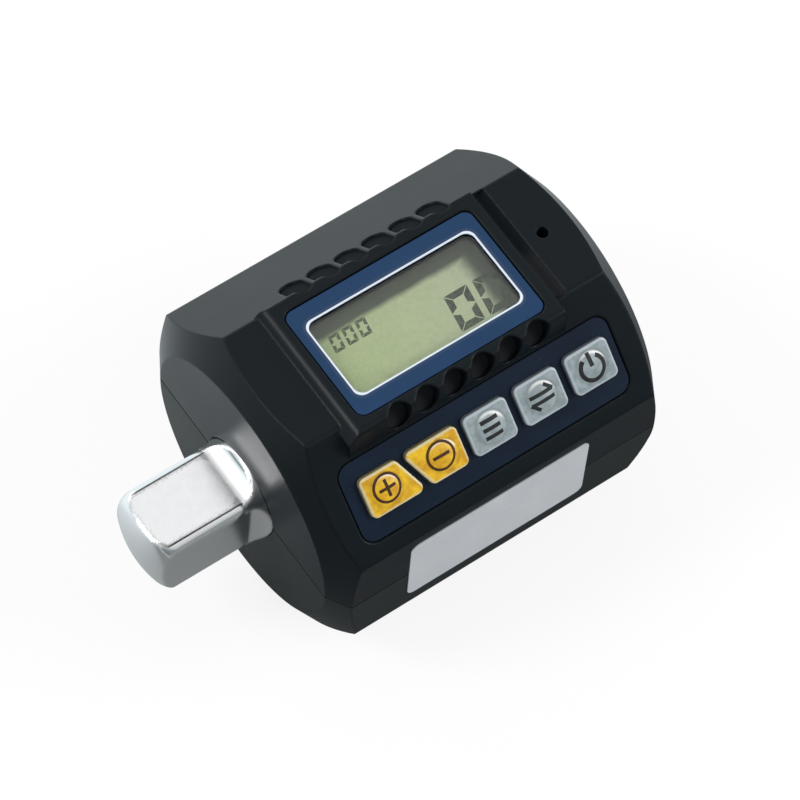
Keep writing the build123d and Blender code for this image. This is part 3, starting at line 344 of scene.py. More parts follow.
steelLook = {
    "stroke": 0.3, "drawn": 0.15, "strokeShare": 0.3, "strokeRough": 0.12,
    "stain": 2.2, "stainShare": 0.6, "stainRough": 0.08, "depth": 0.004,
}


def steel(name, bright, dull, roughness):
    look = steelLook
    finish = Finish(name)
    stroke = finish.noise(look["stroke"], 4, 0.6, finish.stretched(look["drawn"]))
    stain = finish.noise(look["stain"])
    finish.relief(stroke, look["depth"])
    colour = finish.mix(stain * look["stainShare"] + stroke * look["strokeShare"], bright, dull)
    roughness = roughness + stroke * look["strokeRough"] + stain * look["stainRough"]
    return finish.shade(colour=colour, roughness=roughness, metal=1)


# Finishes of the display and the keypad

blues = {
    "bezel": (24, 52, 84), "bezelPale": (28, 60, 96), "overlay": (3, 18, 35), "overlayPale": (6, 27, 48),
}
filmLook = {
    "weave": 0.16, "cloud": 9, "speck": 0.3, "specked": (0.72, 0.8),
    "speckTone": (150, 160, 180), "speckShare": 0.25,
    "depth": 0.006, "weaveRough": 0.08, "cloudRough": 0.08, "level": 0.22,
}


def printedFilm(name, deep, pale, gloss):
    look = filmLook
    finish = Finish(name)
    weave = finish.cells(look["weave"])
    cloud = finish.noise(look["cloud"], detail=2)
    specks = finish.noise(look["speck"], detail=2).ramp(*look["specked"])
    colour = finish.mix(cloud, deep, pale)
    colour = finish.mix(specks * look["speckShare"], colour, look["speckTone"])
    finish.relief(weave, look["depth"])
    roughness = gloss + weave * look["weaveRough"] + cloud * look["cloudRough"]
    return finish.shade(colour=colour, roughness=roughness, level=look["level"])


def beyondRounded(sideways, lengthways, corner):  # millimetres outside a rounded outline, negative inside
    beyond = (sideways.most(0) ** 2 + lengthways.most(0) ** 2).root()
    return beyond + sideways.most(lengthways).least(0) - corner


lineLook = {
    "length": 30.0, "width": 14.79, "corner": 1.6, "rib": 0.75, "ink": 0.54, "soft": 0.05,
    "grain": 0.15, "depth": 0.006, "dull": (206, 218, 232), "white": (228, 236, 246),
    "rough": 0.4, "grainRough": 0.1,
}


def whiteInk(name):  # white in the middle of the rib, bezel blue beside it
    look = lineLook
    finish = Finish(name)
    x, y = finish.axes()[:2]
    grain = finish.noise(look["grain"])
    finish.relief(grain, look["depth"])
    corner = look["corner"]
    sideways = abs(x - displayPlace["x"]) - (look["length"] / 2 - corner)
    lengthways = abs(y - displayPlace["y"]) - (look["width"] / 2 - corner)
    fromMiddle = abs(beyondRounded(sideways, lengthways, corner) + look["rib"] / 2)
    bare = fromMiddle.ramp(look["ink"] / 2 - look["soft"], look["ink"] / 2 + look["soft"])
    colour = finish.mix(bare, finish.mix(grain, look["dull"], look["white"]), blues["bezel"])
    return finish.shade(colour=colour, roughness=look["rough"] + grain * look["grainRough"])


windowLook = {
    "haze": 5, "clear": (246, 250, 246), "hazy": (236, 242, 238), "hazeRough": 0.03,
    "bend": 1.47, "level": 0.4,
}


def clearWindow(name):
    look = windowLook
    finish = Finish(name)
    haze = finish.noise(look["haze"])
    colour = finish.mix(haze, look["clear"], look["hazy"])
    roughness = haze * look["hazeRough"]
    return finish.shade(
        colour=colour, roughness=roughness, clear=1, bend=look["bend"], level=look["level"],
    )


glassLook = {
    "cloud": 3.2, "fine": 0.35, "left": (191, 202, 146), "right": (201, 201, 174), "shift": 0.4,
    "dot": (0.35, 0.75), "dotTone": (156, 170, 128), "dotShare": 0.3,
    "blotch": 1.1, "blotched": (0.4, 0.75), "blotchTone": (168, 176, 140), "blotchShare": 0.35,
    "farShade": 2.2, "farSoft": (-1.0, 0.4), "rightShade": 3.0, "rightSoft": (-1.6, 1.2),
    "wander": 0.8, "ragged": 1.4, "shadeTone": (38, 46, 40), "shadeShare": 0.9,
    "depth": 0.004, "rough": 0.5, "cloudRough": 0.15, "level": 0.3,
}


def displayGlass(name):  # the display's ground, shaded below the window's far and right edges
    look = glassLook
    finish = Finish(name)
    x, y = finish.axes()[:2]
    cloud = finish.noise(look["cloud"], detail=4, rough=0.65)
    fine = finish.noise(look["fine"], rough=0.6)
    rightEdge = displayPlace["x"] + displayPlace["length"] / 2
    farEdge = displayPlace["y"] + displayPlace["width"] / 2
    towards = (x - displayPlace["x"]) / displayPlace["length"] + 0.5
    towards = towards + cloud * look["shift"] - look["shift"] / 2
    colour = finish.mix(towards, look["left"], look["right"])
    colour = finish.mix(fine.ramp(*look["dot"]) * look["dotShare"], colour, look["dotTone"])
    blotches = finish.noise(look["blotch"], detail=4, rough=0.7).ramp(*look["blotched"])
    colour = finish.mix(blotches * look["blotchShare"], colour, look["blotchTone"])
    wander = cloud * look["wander"] - look["wander"] / 2
    far = (y - farEdge + look["farShade"] + wander).ramp(*look["farSoft"])
    right = (x - rightEdge + look["rightShade"] + wander * look["ragged"]).ramp(*look["rightSoft"])
    colour = finish.mix(far.most(right) * look["shadeShare"], colour, look["shadeTone"])
    finish.relief(fine, look["depth"])
    roughness = look["rough"] + cloud * look["cloudRough"]
    return finish.shade(colour=colour, roughness=roughness, level=look["level"])


inkLook = {
    "cloud": 0.9, "clouded": (0.3, 0.7), "fine": 0.15, "rough": 0.5, "fineRough": 0.2, "level": 0.25,
}


def printInk(name, dark, light):
    look = inkLook
    finish = Finish(name)
    cloud = finish.noise(look["cloud"], detail=4, rough=0.7)
    fine = finish.noise(look["fine"], detail=2)
    colour = finish.mix(cloud.ramp(*look["clouded"]), dark, light)
    roughness = look["rough"] + fine * look["fineRough"]
    return finish.shade(colour=colour, roughness=roughness, level=look["level"])


keyLook = {
    "cloud": 1.6, "clouded": (0.3, 0.7), "cloudBump": 0.5, "fine": 0.18, "fineBump": 0.5, "depth": 0.02,
    "domeRadius": 2.6, "crease": (0.05, 0.45), "creaseDim": 0.72, "creaseShare": 0.3,
    "litInset": 0.35, "litWidth": (0.0, 0.4), "litSide": (0.8, 2.2), "litLean": 0.35,
    "litTone": (246, 246, 240), "litShare": 0.6,
    "rim": 0.36, "soft": 0.14, "wander": 0.12, "rimDim": 0.88, "rimShare": 0.92,
    "top": (0.47, 0.72), "wallDim": 0.45, "wallShare": 0.85,
    "rough": 0.3, "cloudRough": 0.14, "coat": 0.35, "coatRoughness": 0.18,
}


def keyFace(name, outline, centreX, face, edgeTone, rimTone):  # a glossy domed key with a paler rim, a painted highlight on its dome and painted shade along the dome's crease
    look = keyLook
    finish = Finish(name)
    x, y, z = finish.axes()
    down = (slopeTop - y - z) * diagonal - keyRow["down"]
    cloud = finish.noise(look["cloud"], detail=4, rough=0.65)
    fine = finish.noise(look["fine"])
    across = x - centreX
    fromDome = (across * across + down * down).root() - look["domeRadius"]
    # painted shade: the colour is dimmed along the dome's crease
    crease = 1 - abs(fromDome).ramp(*look["crease"])
    # painted highlight: a pale crescent just inside the dome's edge, on its upper side
    paintedHighlight = 1 - abs(fromDome + look["litInset"]).ramp(*look["litWidth"])
    paintedHighlight = paintedHighlight * (0 - down + across * look["litLean"]).ramp(*look["litSide"])
    colour = finish.mix(cloud.ramp(*look["clouded"]), face, edgeTone)
    colour = finish.mix(crease * look["creaseShare"], colour, dimmed(face, look["creaseDim"]))
    colour = finish.mix(paintedHighlight * look["litShare"], colour, look["litTone"])
    rim = outline(x, down) + cloud * look["wander"] - look["wander"] / 2
    rim = rim.ramp(-look["rim"] - look["soft"], -look["rim"] + look["soft"])
    rimColour = finish.mix(fine, rimTone, dimmed(rimTone, look["rimDim"]))
    colour = finish.mix(rim * look["rimShare"], colour, rimColour)
    aboveSlope = (z - y) * diagonal - slopeRim * diagonal
    wall = 1 - aboveSlope.ramp(*look["top"])
    colour = finish.mix(wall * look["wallShare"], colour, dimmed(rimTone, look["wallDim"]))
    finish.relief(fine * look["fineBump"] + cloud * look["cloudBump"], look["depth"])
    return finish.shade(
        colour=colour, roughness=look["rough"] + cloud * look["cloudRough"],
        coat=look["coat"], coatRoughness=look["coatRoughness"],
    )


def roundedOutline(centreX):  # the outline of a grey key
    def outline(x, down):
        corner = keyRow["corner"]
        sideways = abs(x - centreX) - (keyRow["width"] / 2 - corner)
        lengthways = abs(down) - (keyRow["height"] / 2 - corner)
        return beyondRounded(sideways, lengthways, corner)
    return outline


def slantedOutline(left):  # the outline of the left or the right yellow key
    middle = (yellowKeys["splitTop"] + yellowKeys["splitBottom"]) / 2
    lean = (yellowKeys["splitBottom"] - yellowKeys["splitTop"]) / keyRow["height"]
    steep = math.sqrt(1 + lean * lean)

    def outline(x, down):
        ends = abs(down) - keyRow["height"] / 2
        slant = (x - middle - down * lean) / steep
        if left:
            return ends.most(yellowKeys["left"] - x).most(slant + yellowKeys["gap"] / 2)
        return ends.most(x - yellowKeys["right"]).most(yellowKeys["gap"] / 2 - slant)
    return outline


labelLook = {
    "cloud": 7, "grey": (196, 201, 206), "pale": (213, 217, 221),
    "brush": 0.25, "drawn": 0.05, "brushed": (0.4, 0.8), "brushTone": (180, 186, 193), "brushShare": 0.3,
    "speck": 0.4, "specked": (0.76, 0.8), "speckTone": (120, 122, 126), "speckShare": 0.5,
    "depth": 0.004, "rough": 0.34, "cloudRough": 0.1, "metal": 0.25,
}


def labelFilm(name):  # a bare silver sticker
    look = labelLook
    finish = Finish(name)
    brushed = finish.noise(look["brush"], rough=0.6, place=finish.stretched(look["drawn"]))
    cloud = finish.noise(look["cloud"], detail=2)
    specks = finish.noise(look["speck"], detail=1).ramp(*look["specked"])
    colour = finish.mix(cloud, look["grey"], look["pale"])
    colour = finish.mix(brushed.ramp(*look["brushed"]) * look["brushShare"], colour, look["brushTone"])
    colour = finish.mix(specks * look["speckShare"], colour, look["speckTone"])
    finish.relief(brushed, look["depth"])
    roughness = look["rough"] + cloud * look["cloudRough"]
    return finish.shade(colour=colour, roughness=roughness, metal=look["metal"])


# Finishes of the pieces inside

boardLook = {
    # the tracks' pitch, bend and edges
    "alongX": (2.4, 3, 0.5, 0.7), "alongY": (1.9, 4, 0.6, 0.8), "wander": 4,
    "area": 3, "areas": (0.42, 0.5), "ground": (20, 84, 48), "track": (44, 122, 70),
    "dots": 1.9, "dotEdge": (0.13, 0.17), "dot": (196, 190, 160), "dotShare": 0.9, "dotBump": 0.5,
    "depth": 0.02, "rough": 0.3, "trackRough": 0.1, "level": 0.5,
}


def boardLacquer(name):  # green lacquer over tracks and soldered dots
    look = boardLook
    finish = Finish(name)
    x, y = finish.axes()[:2]
    wander = finish.noise(look["wander"], detail=1)
    runs = [
        (axis * pitch + wander * bend).sine().ramp(low, high)
        for axis, (pitch, bend, low, high) in ((y, look["alongX"]), (x, look["alongY"]))
    ]
    tracks = runs[0].most(runs[1]) * finish.noise(look["area"], detail=0).ramp(*look["areas"])
    dots = 1 - finish.cells(look["dots"]).ramp(*look["dotEdge"])
    colour = finish.mix(tracks, look["ground"], look["track"])
    colour = finish.mix(dots * look["dotShare"], colour, look["dot"])
    finish.relief(tracks + dots * look["dotBump"], look["depth"])
    roughness = look["rough"] + tracks * look["trackRough"]
    return finish.shade(colour=colour, roughness=roughness, level=look["level"])


mouldedLook = {"cloud": 3, "cloudShare": 0.7, "grainShare": 0.3, "grainRough": 0.12, "depth": 0.01}


def mouldedPart(name, first, second, roughness, grain=0.25):
    look = mouldedLook
    finish = Finish(name)
    fine = finish.noise(grain)
    cloud = finish.noise(look["cloud"], detail=2)
    finish.relief(fine, look["depth"])
    colour = finish.mix(cloud * look["cloudShare"] + fine * look["grainShare"], first, second)
    return finish.shade(colour=colour, roughness=roughness + fine * look["grainRough"])


stripeLook = {"slant": 0.3, "edge": (0.1, 0.4), "depth": 0.01, "rough": 0.35, "lineRough": 0.2}


def stripedFilm(name, base, stripe, pitch):
    look = stripeLook
    finish = Finish(name)
    x, y, z = finish.axes()
    along = x + y * look["slant"] + z * look["slant"]
    lines = (along * (2 * math.pi / pitch)).sine().ramp(*look["edge"])
    finish.relief(lines, look["depth"])
    colour = finish.mix(lines, base, stripe)
    return finish.shade(colour=colour, roughness=look["rough"] + lines * look["lineRough"])


cellLook = {
    "middle": 32.35, "ends": (21.4, 21.5), "tin": (206, 206, 202),
    "sleeve": (28, 30, 34), "bandFrom": 42, "bandSoft": (0, 0.1), "band": (188, 112, 52),
    "grain": 0.5, "drawn": 0.1, "wear": (90, 92, 96), "wearShare": 0.2, "depth": 0.004,
    "rough": 0.28, "grainRough": 0.1, "sleeveMetal": 0.2, "tinMetal": 0.8,
}


def cellSleeve(name):  # a dark sleeve with a copper band and bare tin ends
    look = cellLook
    finish = Finish(name)
    x = finish.axes()[0]
    fine = finish.noise(look["grain"], rough=0.6, place=finish.stretched(look["drawn"]))
    tin = abs(x - look["middle"]).ramp(*look["ends"])
    band = (x - look["bandFrom"]).ramp(*look["bandSoft"])
    colour = finish.mix(band, look["sleeve"], look["band"])
    colour = finish.mix(fine * look["wearShare"], colour, look["wear"])
    colour = finish.mix(tin, colour, look["tin"])
    finish.relief(fine, look["depth"])
    roughness = look["rough"] + fine * look["grainRough"]
    metal = tin * look["tinMetal"] + look["sleeveMetal"]
    return finish.shade(colour=colour, roughness=roughness, metal=metal)


screwTones = ((200, 202, 205), (150, 152, 156), 0.22)  # bright and dull tone, roughness
keyTones = {  # the face's two tones and the rim's
    "Yellow": ((196, 142, 0), (232, 188, 6), (222, 210, 164)),
    "Grey": ((123, 136, 139), (152, 164, 168), (184, 196, 204)),
}


plastics = {  # dark and light tone, grain, roughness, level and edge radius
    "upper": ((11, 18, 22), (16, 23, 28), 0.5, 0.27, 0.14, 0.55),
    # the lower shell is the same black plastic as the upper one, its tones painted paler as painted light
    # from the floor
    "lower": ((29, 35, 36), (35, 41, 42), 0.5, 0.34, 0.13, 0.5),
    "door": ((17, 22, 24), (24, 30, 32), 0.4, 0.4, 0.13, 0.3),
}


def dressNodes():
    bright = steel("screwSteel", *screwTones)
    looks = {
        "upper_housing": blackPlastic("blackPlastic", *plastics["upper"]),
        "lower_housing": blackPlastic("blackPlasticLowerPaintedLight", *plastics["lower"]),
        "battery_door": blackPlastic("blackPlasticDoor", *plastics["door"]),
        "door_screw": bright,
        "housing_screws": bright,
        "board_screws": bright,
        "torque_shaft": chrome("chromeSteel"),
        "detent_ball": steel("ballSteel", (226, 228, 230), (180, 182, 186), 0.1),
        "detent_spring": steel("springSteel", (168, 168, 170), (120, 118, 116), 0.25),
        "contact_plates": steel("contactSteel", (210, 206, 196), (168, 164, 156), 0.25),
        "contact_coils": steel("coilSteel", (200, 198, 192), (150, 148, 142), 0.25),
        "front_seal": rubber("sealRubberFront"),
        "rear_seal": rubber("sealRubberRear"),
        "strain_gauges": stripedFilm("gaugeFilm", (206, 150, 70), (150, 96, 40), 0.5),
        "lead_strip": stripedFilm("leadFilm", (196, 128, 52), (150, 84, 30), 1.0),
        "display_bezel": printedFilm("bezelBlue", blues["bezel"], blues["bezelPale"], 0.32),
        "key_overlay": printedFilm("overlayBlue", blues["overlay"], blues["overlayPale"], 0.3),
        "bezel_line": whiteInk("lineWhite"),
        "display_window": clearWindow("windowClear"),
        "display_glass": displayGlass("displayGreen"),
        "display_reflector": mouldedPart("reflectorSilver", (206, 208, 210), (186, 188, 190), 0.3),
        "display_holder": mouldedPart("holderWhite", (226, 226, 220), (206, 206, 200), 0.5),
        "zebra_strips": stripedFilm("zebraPink", (206, 128, 128), (60, 56, 60), 0.35),
        "main_board": boardLacquer("boardGreen"),
        "key_board": boardLacquer("keyBoardGreen"),
        "controller_chip": mouldedPart("chipBlack", (26, 26, 28), (44, 44, 46), 0.5, 0.12),
        "amplifier_chip": mouldedPart("chipBlackSmall", (28, 28, 30), (46, 46, 48), 0.5, 0.12),
        "buzzer": mouldedPart("buzzerBlack", (20, 20, 22), (36, 36, 38), 0.4),
        "key_switches": mouldedPart("switchPlastic", (40, 42, 46), (66, 68, 72), 0.45),
        "cell_near": cellSleeve("cellSleeveNear"),
        "cell_far": cellSleeve("cellSleeveFar"),
        "side_label": labelFilm("labelSilver"),
    }
    for key, centreX in keyCentres.items():
        yellow = key in ("plus", "minus")
        outline = slantedOutline(key == "plus") if yellow else roundedOutline(centreX)
        paint = "Yellow" if yellow else "Grey"
        name = "key" + key.capitalize() + paint
        looks["key_" + key] = keyFace(name, outline, centreX, *keyTones[paint])
    for name, look in looks.items():
        for slot in nodes[name].material_slots:
            slot.material = look
    print("finishes given to", len(looks), "nodes")


# Print on the keys and the digits of the display


def meshData(name, mesh):  # moves a bmesh into new mesh data
    data = bpy.data.meshes.new(name)
    mesh.to_mesh(data)
    mesh.free()
    return data


def placed(name, data):  # a new object in the scene
    thing = bpy.data.objects.new(name, data)
    bpy.context.scene.collection.objects.link(thing)
    return thing


def ribbon(points, width, closed=False):  # left and right edge points of a stroke
    edges = []
    count = len(points)
    for place, point in enumerate(points):
        before = points[place - 1] if closed or place > 0 else point
        after = points[(place + 1) % count] if closed or place < count - 1 else point
        along = (Vector(after) - Vector(before)).normalized()
        side = Vector((-along.y, along.x)) * (width / 2)
        edges.append((Vector(point) + side, Vector(point) - side))
    return edges


def sheetMesh(name, strokes, surface, thickness):
    # strokes are lists of (left, right) pairs; surface gives a point and its outward direction
    mesh = bmesh.new()
    for edges, closed in strokes:
        rows = []
        for left, right in edges:
            corners = []
            for flatPoint in (left, right):
                point, outward = surface(flatPoint)
                corners.append(mesh.verts.new(point + outward * (thickness * mm)))
                corners.append(mesh.verts.new(point - outward * (thickness * mm)))
            rows.append(corners)
        steps = len(rows) if closed else len(rows) - 1
        for place in range(steps):
            leftTop, leftLow, rightTop, rightLow = rows[place]
            leftTopNext, leftLowNext, rightTopNext, rightLowNext = rows[(place + 1) % len(rows)]
            mesh.faces.new((leftTop, leftTopNext, rightTopNext, rightTop))
            mesh.faces.new((leftLow, rightLow, rightLowNext, leftLowNext))
            mesh.faces.new((leftTop, leftLow, leftLowNext, leftTopNext))
            mesh.faces.new((rightTop, rightTopNext, rightLowNext, rightLow))
        if not closed:
            for corners in (rows[0], rows[-1]):
                mesh.faces.new((corners[0], corners[2], corners[3], corners[1]))
    bmesh.ops.recalc_face_normals(mesh, faces=mesh.faces)
    return placed(name, meshData(name, mesh))


def circle(centre, radius, count=40, start=0.0, turn=2 * math.pi):
    steps = count if turn >= 2 * math.pi else count - 1
    return [
        (centre[0] + radius * math.cos(start + turn * step / steps),
         centre[1] + radius * math.sin(start + turn * step / steps))
        for step in range(count)
    ]


def line(start, end, count=8):
    return [
        (start[0] + (end[0] - start[0]) * step / count, start[1] + (end[1] - start[1]) * step / count)
        for step in range(count + 1)
    ]


marks = {
    "lift": 0.02, "dropFrom": 5,  # half the ink's thickness, and where the points start above the key
    "brown": ((58, 34, 14), (76, 46, 18)), "black": ((26, 28, 30), (40, 42, 44)),
    "stroke": 0.42, "ring": 2.15, "arm": 1.4, "armShare": 1.2, "rise": 0.3,
    "plusShift": 0.15, "minusShift": -0.35,
    "bold": 0.74, "bar": 1.5, "barLevels": (-1.3, 0.0, 1.3), "barShare": 0.85,
    "arrow": 2.0, "arrowLevel": 0.6, "arrowShare": 0.8,
    "barbFrom": (2.1, 0.5), "barbTo": (0.9, 1.75), "barbSteps": 4,
    "arc": 1.95, "arcDrop": -0.1, "arcStart": 125, "arcTurn": 290, "arcSteps": 32, "arcShare": 0.9,
    "stemFrom": 0.2, "stemTo": 2.4,
}


def keySurface(node):  # drops a point of the key's face onto the key, along the slope
    tree = BVHTree.FromObject(nodes[node], bpy.context.evaluated_depsgraph_get())
    outward = Vector((0, -diagonal, diagonal))
    upward = Vector((0, diagonal, diagonal))
    foot = Vector((0, -housing["halfFlat"], halfAcross))

    def surface(flatPoint):
        point = foot + Vector((flatPoint[0], 0, 0)) + upward * (flatPoint[1] - keyRow["down"])
        hit = tree.ray_cast((point + outward * marks["dropFrom"]) * mm, -outward)
        return (hit[0] if hit[0] is not None else (point + outward * keyRow["rise"]) * mm), outward
    return surface


def keyMark(name, node, body, strokes, look):
    shapes = [(ribbon(points, width, closed), closed) for points, width, closed in strokes]
    piece = sheetMesh(name, shapes, keySurface(node), marks["lift"])
    piece.data.materials.append(look)
    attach(piece, body)


def dressKeys():  # a plus and a minus in rings, three bars, two arrows and a power sign
    brown = printInk("printBrown", *marks["brown"])
    dark = printInk("printBlack", *marks["black"])
    ring, arm, rise, stroke = (marks[name] for name in ("ring", "arm", "rise", "stroke"))
    armWidth = stroke * marks["armShare"]
    barWidth, arrowWidth, arcWidth = (
        marks["bold"] * marks[name] for name in ("barShare", "arrowShare", "arcShare")
    )
    plus, minus = keyCentres["plus"] + marks["plusShift"], keyCentres["minus"] + marks["minusShift"]
    keyMark("markPlus", "key_plus", "key_plus_cap", [
        (circle((plus, rise), ring), stroke, True),
        (line((plus - arm, rise), (plus + arm, rise)), armWidth, False),
        (line((plus, rise - arm), (plus, rise + arm)), armWidth, False),
    ], brown)
    keyMark("markMinus", "key_minus", "key_minus_cap", [
        (circle((minus, rise), ring), stroke, True),
        (line((minus - arm, rise), (minus + arm, rise)), armWidth, False),
    ], brown)
    mode, unit, power = (keyCentres[name] for name in ("mode", "unit", "power"))
    half = marks["bar"]
    keyMark("markMode", "key_mode", "key_mode_cap", [
        (line((mode - half, level), (mode + half, level)), barWidth, False)
        for level in marks["barLevels"]
    ], dark)
    arrows = []
    for way in (1, -1):
        reach, level = marks["arrow"] * way, marks["arrowLevel"] * way
        barb = [(unit + place[0] * way, place[1] * way) for place in (marks["barbFrom"], marks["barbTo"])]
        arrows.append((line((unit - reach, level), (unit + reach, level)), arrowWidth, False))
        arrows.append((line(*barb, marks["barbSteps"]), arrowWidth, False))
    keyMark("markUnit", "key_unit", "key_unit_cap", arrows, dark)
    start, turn = math.radians(marks["arcStart"]), math.radians(marks["arcTurn"])
    keyMark("markPower", "key_power", "key_power_cap", [
        (circle((power, marks["arcDrop"]), marks["arc"], marks["arcSteps"], start, turn), arcWidth, False),
        (line((power, marks["stemFrom"]), (power, marks["stemTo"])), arcWidth, False),
    ], dark)
    print("keys marked")


digits = {"glassTop": 24.4, "lift": 0.015, "lean": 0.16, "gap": 0.09}
smallDigits = {"x": 19.5, "y": 0.0, "width": 1.75, "height": 2.9, "pitch": 2.35, "bar": 0.5, "count": 3}
largeDigits = {"x": 36.9, "y": -7.2, "width": 4.1, "height": 6.3, "pitch": 5.1, "bar": 1.1, "count": 2}


def digitStrokes(place):  # six mitred bars for each nought, leaning to the right
    strokes = []
    bars = []
    width, bar = place["width"], place["bar"]
    half = place["height"] / 2
    gap = bar * digits["gap"]
    inset = bar + gap
    for mirrorX, mirrorY in ((1, 1), (1, -1), (-1, 1), (-1, -1)):
        outerX, innerX = mirrorX * width / 2, mirrorX * (width / 2 - bar)
        outer = [(outerX, mirrorY * gap), (outerX, mirrorY * (half - gap))]
        inner = [(innerX, mirrorY * (bar / 2 + gap)), (innerX, mirrorY * (half - inset))]
        bars.append((outer, inner))
    for mirror in (1, -1):
        outerY, innerY = mirror * half, mirror * (half - bar)
        outer = [(-width / 2 + gap, outerY), (width / 2 - gap, outerY)]
        inner = [(-width / 2 + inset, innerY), (width / 2 - inset, innerY)]
        bars.append((outer, inner))
    for number in range(place["count"]):
        middle = (place["x"] + place["pitch"] * number + width / 2, place["y"] + half)
        for outer, inner in bars:
            edges = [
                [(middle[0] + x + (y + half) * digits["lean"], middle[1] + y) for x, y in pair]
                for pair in zip(outer, inner)
            ]
            strokes.append((edges, False))
    return strokes


def glassSurface(flatPoint):
    return Vector((flatPoint[0], flatPoint[1], digits["glassTop"])) * mm, Vector((0, 0, 1))


def dressDisplay():
    for name, place, dark, light in (
        ("digitsSmall", smallDigits, (56, 64, 50), (100, 110, 84)),
        ("digitsLarge", largeDigits, (44, 50, 42), (86, 96, 78)),
    ):
        piece = sheetMesh(name, digitStrokes(place), glassSurface, digits["lift"])
        piece.data.materials.append(printInk(name + "Ink", dark, light))
        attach(piece, "adapter")
    print("display digits laid")


# The door's screw and the end of the male square, cut from copies of the nodes

carving = {"weld": 0.0002, "sharp": 16, "flatness": 90, "samePlace": 2}


def bakedMesh(piece):  # puts the piece's modifiers into its mesh
    posed = piece.evaluated_get(bpy.context.evaluated_depsgraph_get())
    finished = bpy.data.meshes.new_from_object(posed)
    piece.modifiers.clear()
    piece.data = finished
    return finished


def keepNormals(mesh, source):  # where the source's corners are left, they keep their shading
    def corners(owner):
        for polygon in owner.polygons:
            for corner in polygon.loop_indices:
                place = owner.vertices[owner.loops[corner].vertex_index].co
                key = tuple(round(value / mm, carving["samePlace"]) for value in place)
                yield polygon, corner, key

    known = {}
    for polygon, corner, key in corners(source):
        shade = (polygon.normal.copy(), source.corner_normals[corner].vector.copy())
        known.setdefault(key, []).append(shade)
    normals = [corner.vector.copy() for corner in mesh.corner_normals]
    for polygon, corner, key in corners(mesh):
        if key in known:
            normals[corner] = max(known[key], key=lambda shade: shade[0].dot(polygon.normal))[1]
    mesh.normals_split_custom_set(normals)


def carve(node, name, body, rings, look):
    # a copy of a node with a hollow cut in it
    # rings are loops of points in millimetres, from the hollow's floor out
    cut = bmesh.new()
    loops = [[cut.verts.new(Vector(point) * mm) for point in ring] for ring in rings]
    for inner, outer in zip(loops, loops[1:]):
        for place in range(len(inner)):
            following = (place + 1) % len(inner)
            cut.faces.new((inner[place], inner[following], outer[following], outer[place]))
    cut.faces.new(loops[0])
    cut.faces.new(loops[-1])
    bmesh.ops.recalc_face_normals(cut, faces=cut.faces)
    tool = placed(name + "Tool", meshData(name + "Tool", cut))
    whole = bmesh.new()
    whole.from_mesh(nodes[node].data)
    bmesh.ops.remove_doubles(whole, verts=whole.verts, dist=carving["weld"] * mm)
    piece = placed(name, meshData(name, whole))
    cutting = piece.modifiers.new("cut", "BOOLEAN")
    cutting.object = tool
    cutting.solver = "EXACT"
    finished = bakedMesh(piece)
    finished.shade_smooth()
    finished.set_sharp_from_angle(angle=math.radians(carving["sharp"]))
    evening = piece.modifiers.new("evening", "WEIGHTED_NORMAL")
    evening.mode = "FACE_AREA"
    evening.weight = carving["flatness"]
    evening.keep_sharp = True
    finished = bakedMesh(piece)
    keepNormals(finished, nodes[node].data)
    finished.materials.clear()
    finished.materials.append(look)
    bpy.data.objects.remove(tool)
    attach(piece, body)
    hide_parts(node)
    print(name, "carved:", len(finished.polygons), "faces")


screwCross = {"arm": 1.3, "width": 0.45, "depth": 0.5, "taper": 0.7}


def carveDoorScrew():  # a cross recess in the head
    low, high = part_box("door_screw")
    middleX, middleY, foot = (low[0] + high[0]) / 2 / mm, (low[1] + high[1]) / 2 / mm, low[2] / mm
    half, arm, depth = screwCross["width"] / 2, screwCross["arm"], screwCross["depth"]
    outline = []
    for quarter in range(4):
        turn = Matrix.Rotation(quarter * math.pi / 2, 2)
        outline += [turn @ Vector(corner) for corner in ((half, half), (half, arm), (-half, arm))]
    rings = [
        [(middleX + corner.x * size, middleY + corner.y * size, foot + rise) for corner in outline]
        for size, rise in ((screwCross["taper"], depth), (1, -depth))
    ]
    look = steel("screwSteelDoor", *screwTones)
    carve("door_screw", "screwDoor", "door", rings, look)


driveEnd = {
    "tip": -15.87, "bow": 17.0, "bowReach": 6.4, "corner": 3.1, "clear": 10.0, "beyond": -24.0,
    "bowSteps": 14, "cornerSteps": 14, "around": 96,
}


def domeRing(x, radius):
    steps = [2 * math.pi * step / driveEnd["around"] for step in range(driveEnd["around"])]
    return [(x, radius * math.cos(step), radius * math.sin(step)) for step in steps]


def carveDriveEnd():  # the bowed end face of the male square and its rounded corners
    bow, corner = driveEnd["bow"], driveEnd["corner"]
    rings = []
    for step in range(1, driveEnd["bowSteps"] + 1):
        reach = driveEnd["bowReach"] * step / driveEnd["bowSteps"]
        rings.append(domeRing(driveEnd["tip"] + bow - math.sqrt(bow * bow - reach * reach), reach))
    lean = math.asin(driveEnd["bowReach"] / bow)
    axisX = driveEnd["tip"] + bow - (bow - corner) * math.cos(lean)
    axisReach = (bow - corner) * math.sin(lean)
    for step in range(1, driveEnd["cornerSteps"] + 1):
        turn = lean + (math.pi / 2 - lean) * step / driveEnd["cornerSteps"]
        rings.append(domeRing(axisX - corner * math.cos(turn), axisReach + corner * math.sin(turn)))
    rings.append(domeRing(axisX, driveEnd["clear"]))
    rings.append(domeRing(driveEnd["beyond"], driveEnd["clear"]))
    look = chrome("chromeSteelDrive")
    carve("torque_shaft", "shaftDrive", "adapter", rings, look)


# The floor, the lights and the camera of the photo studio

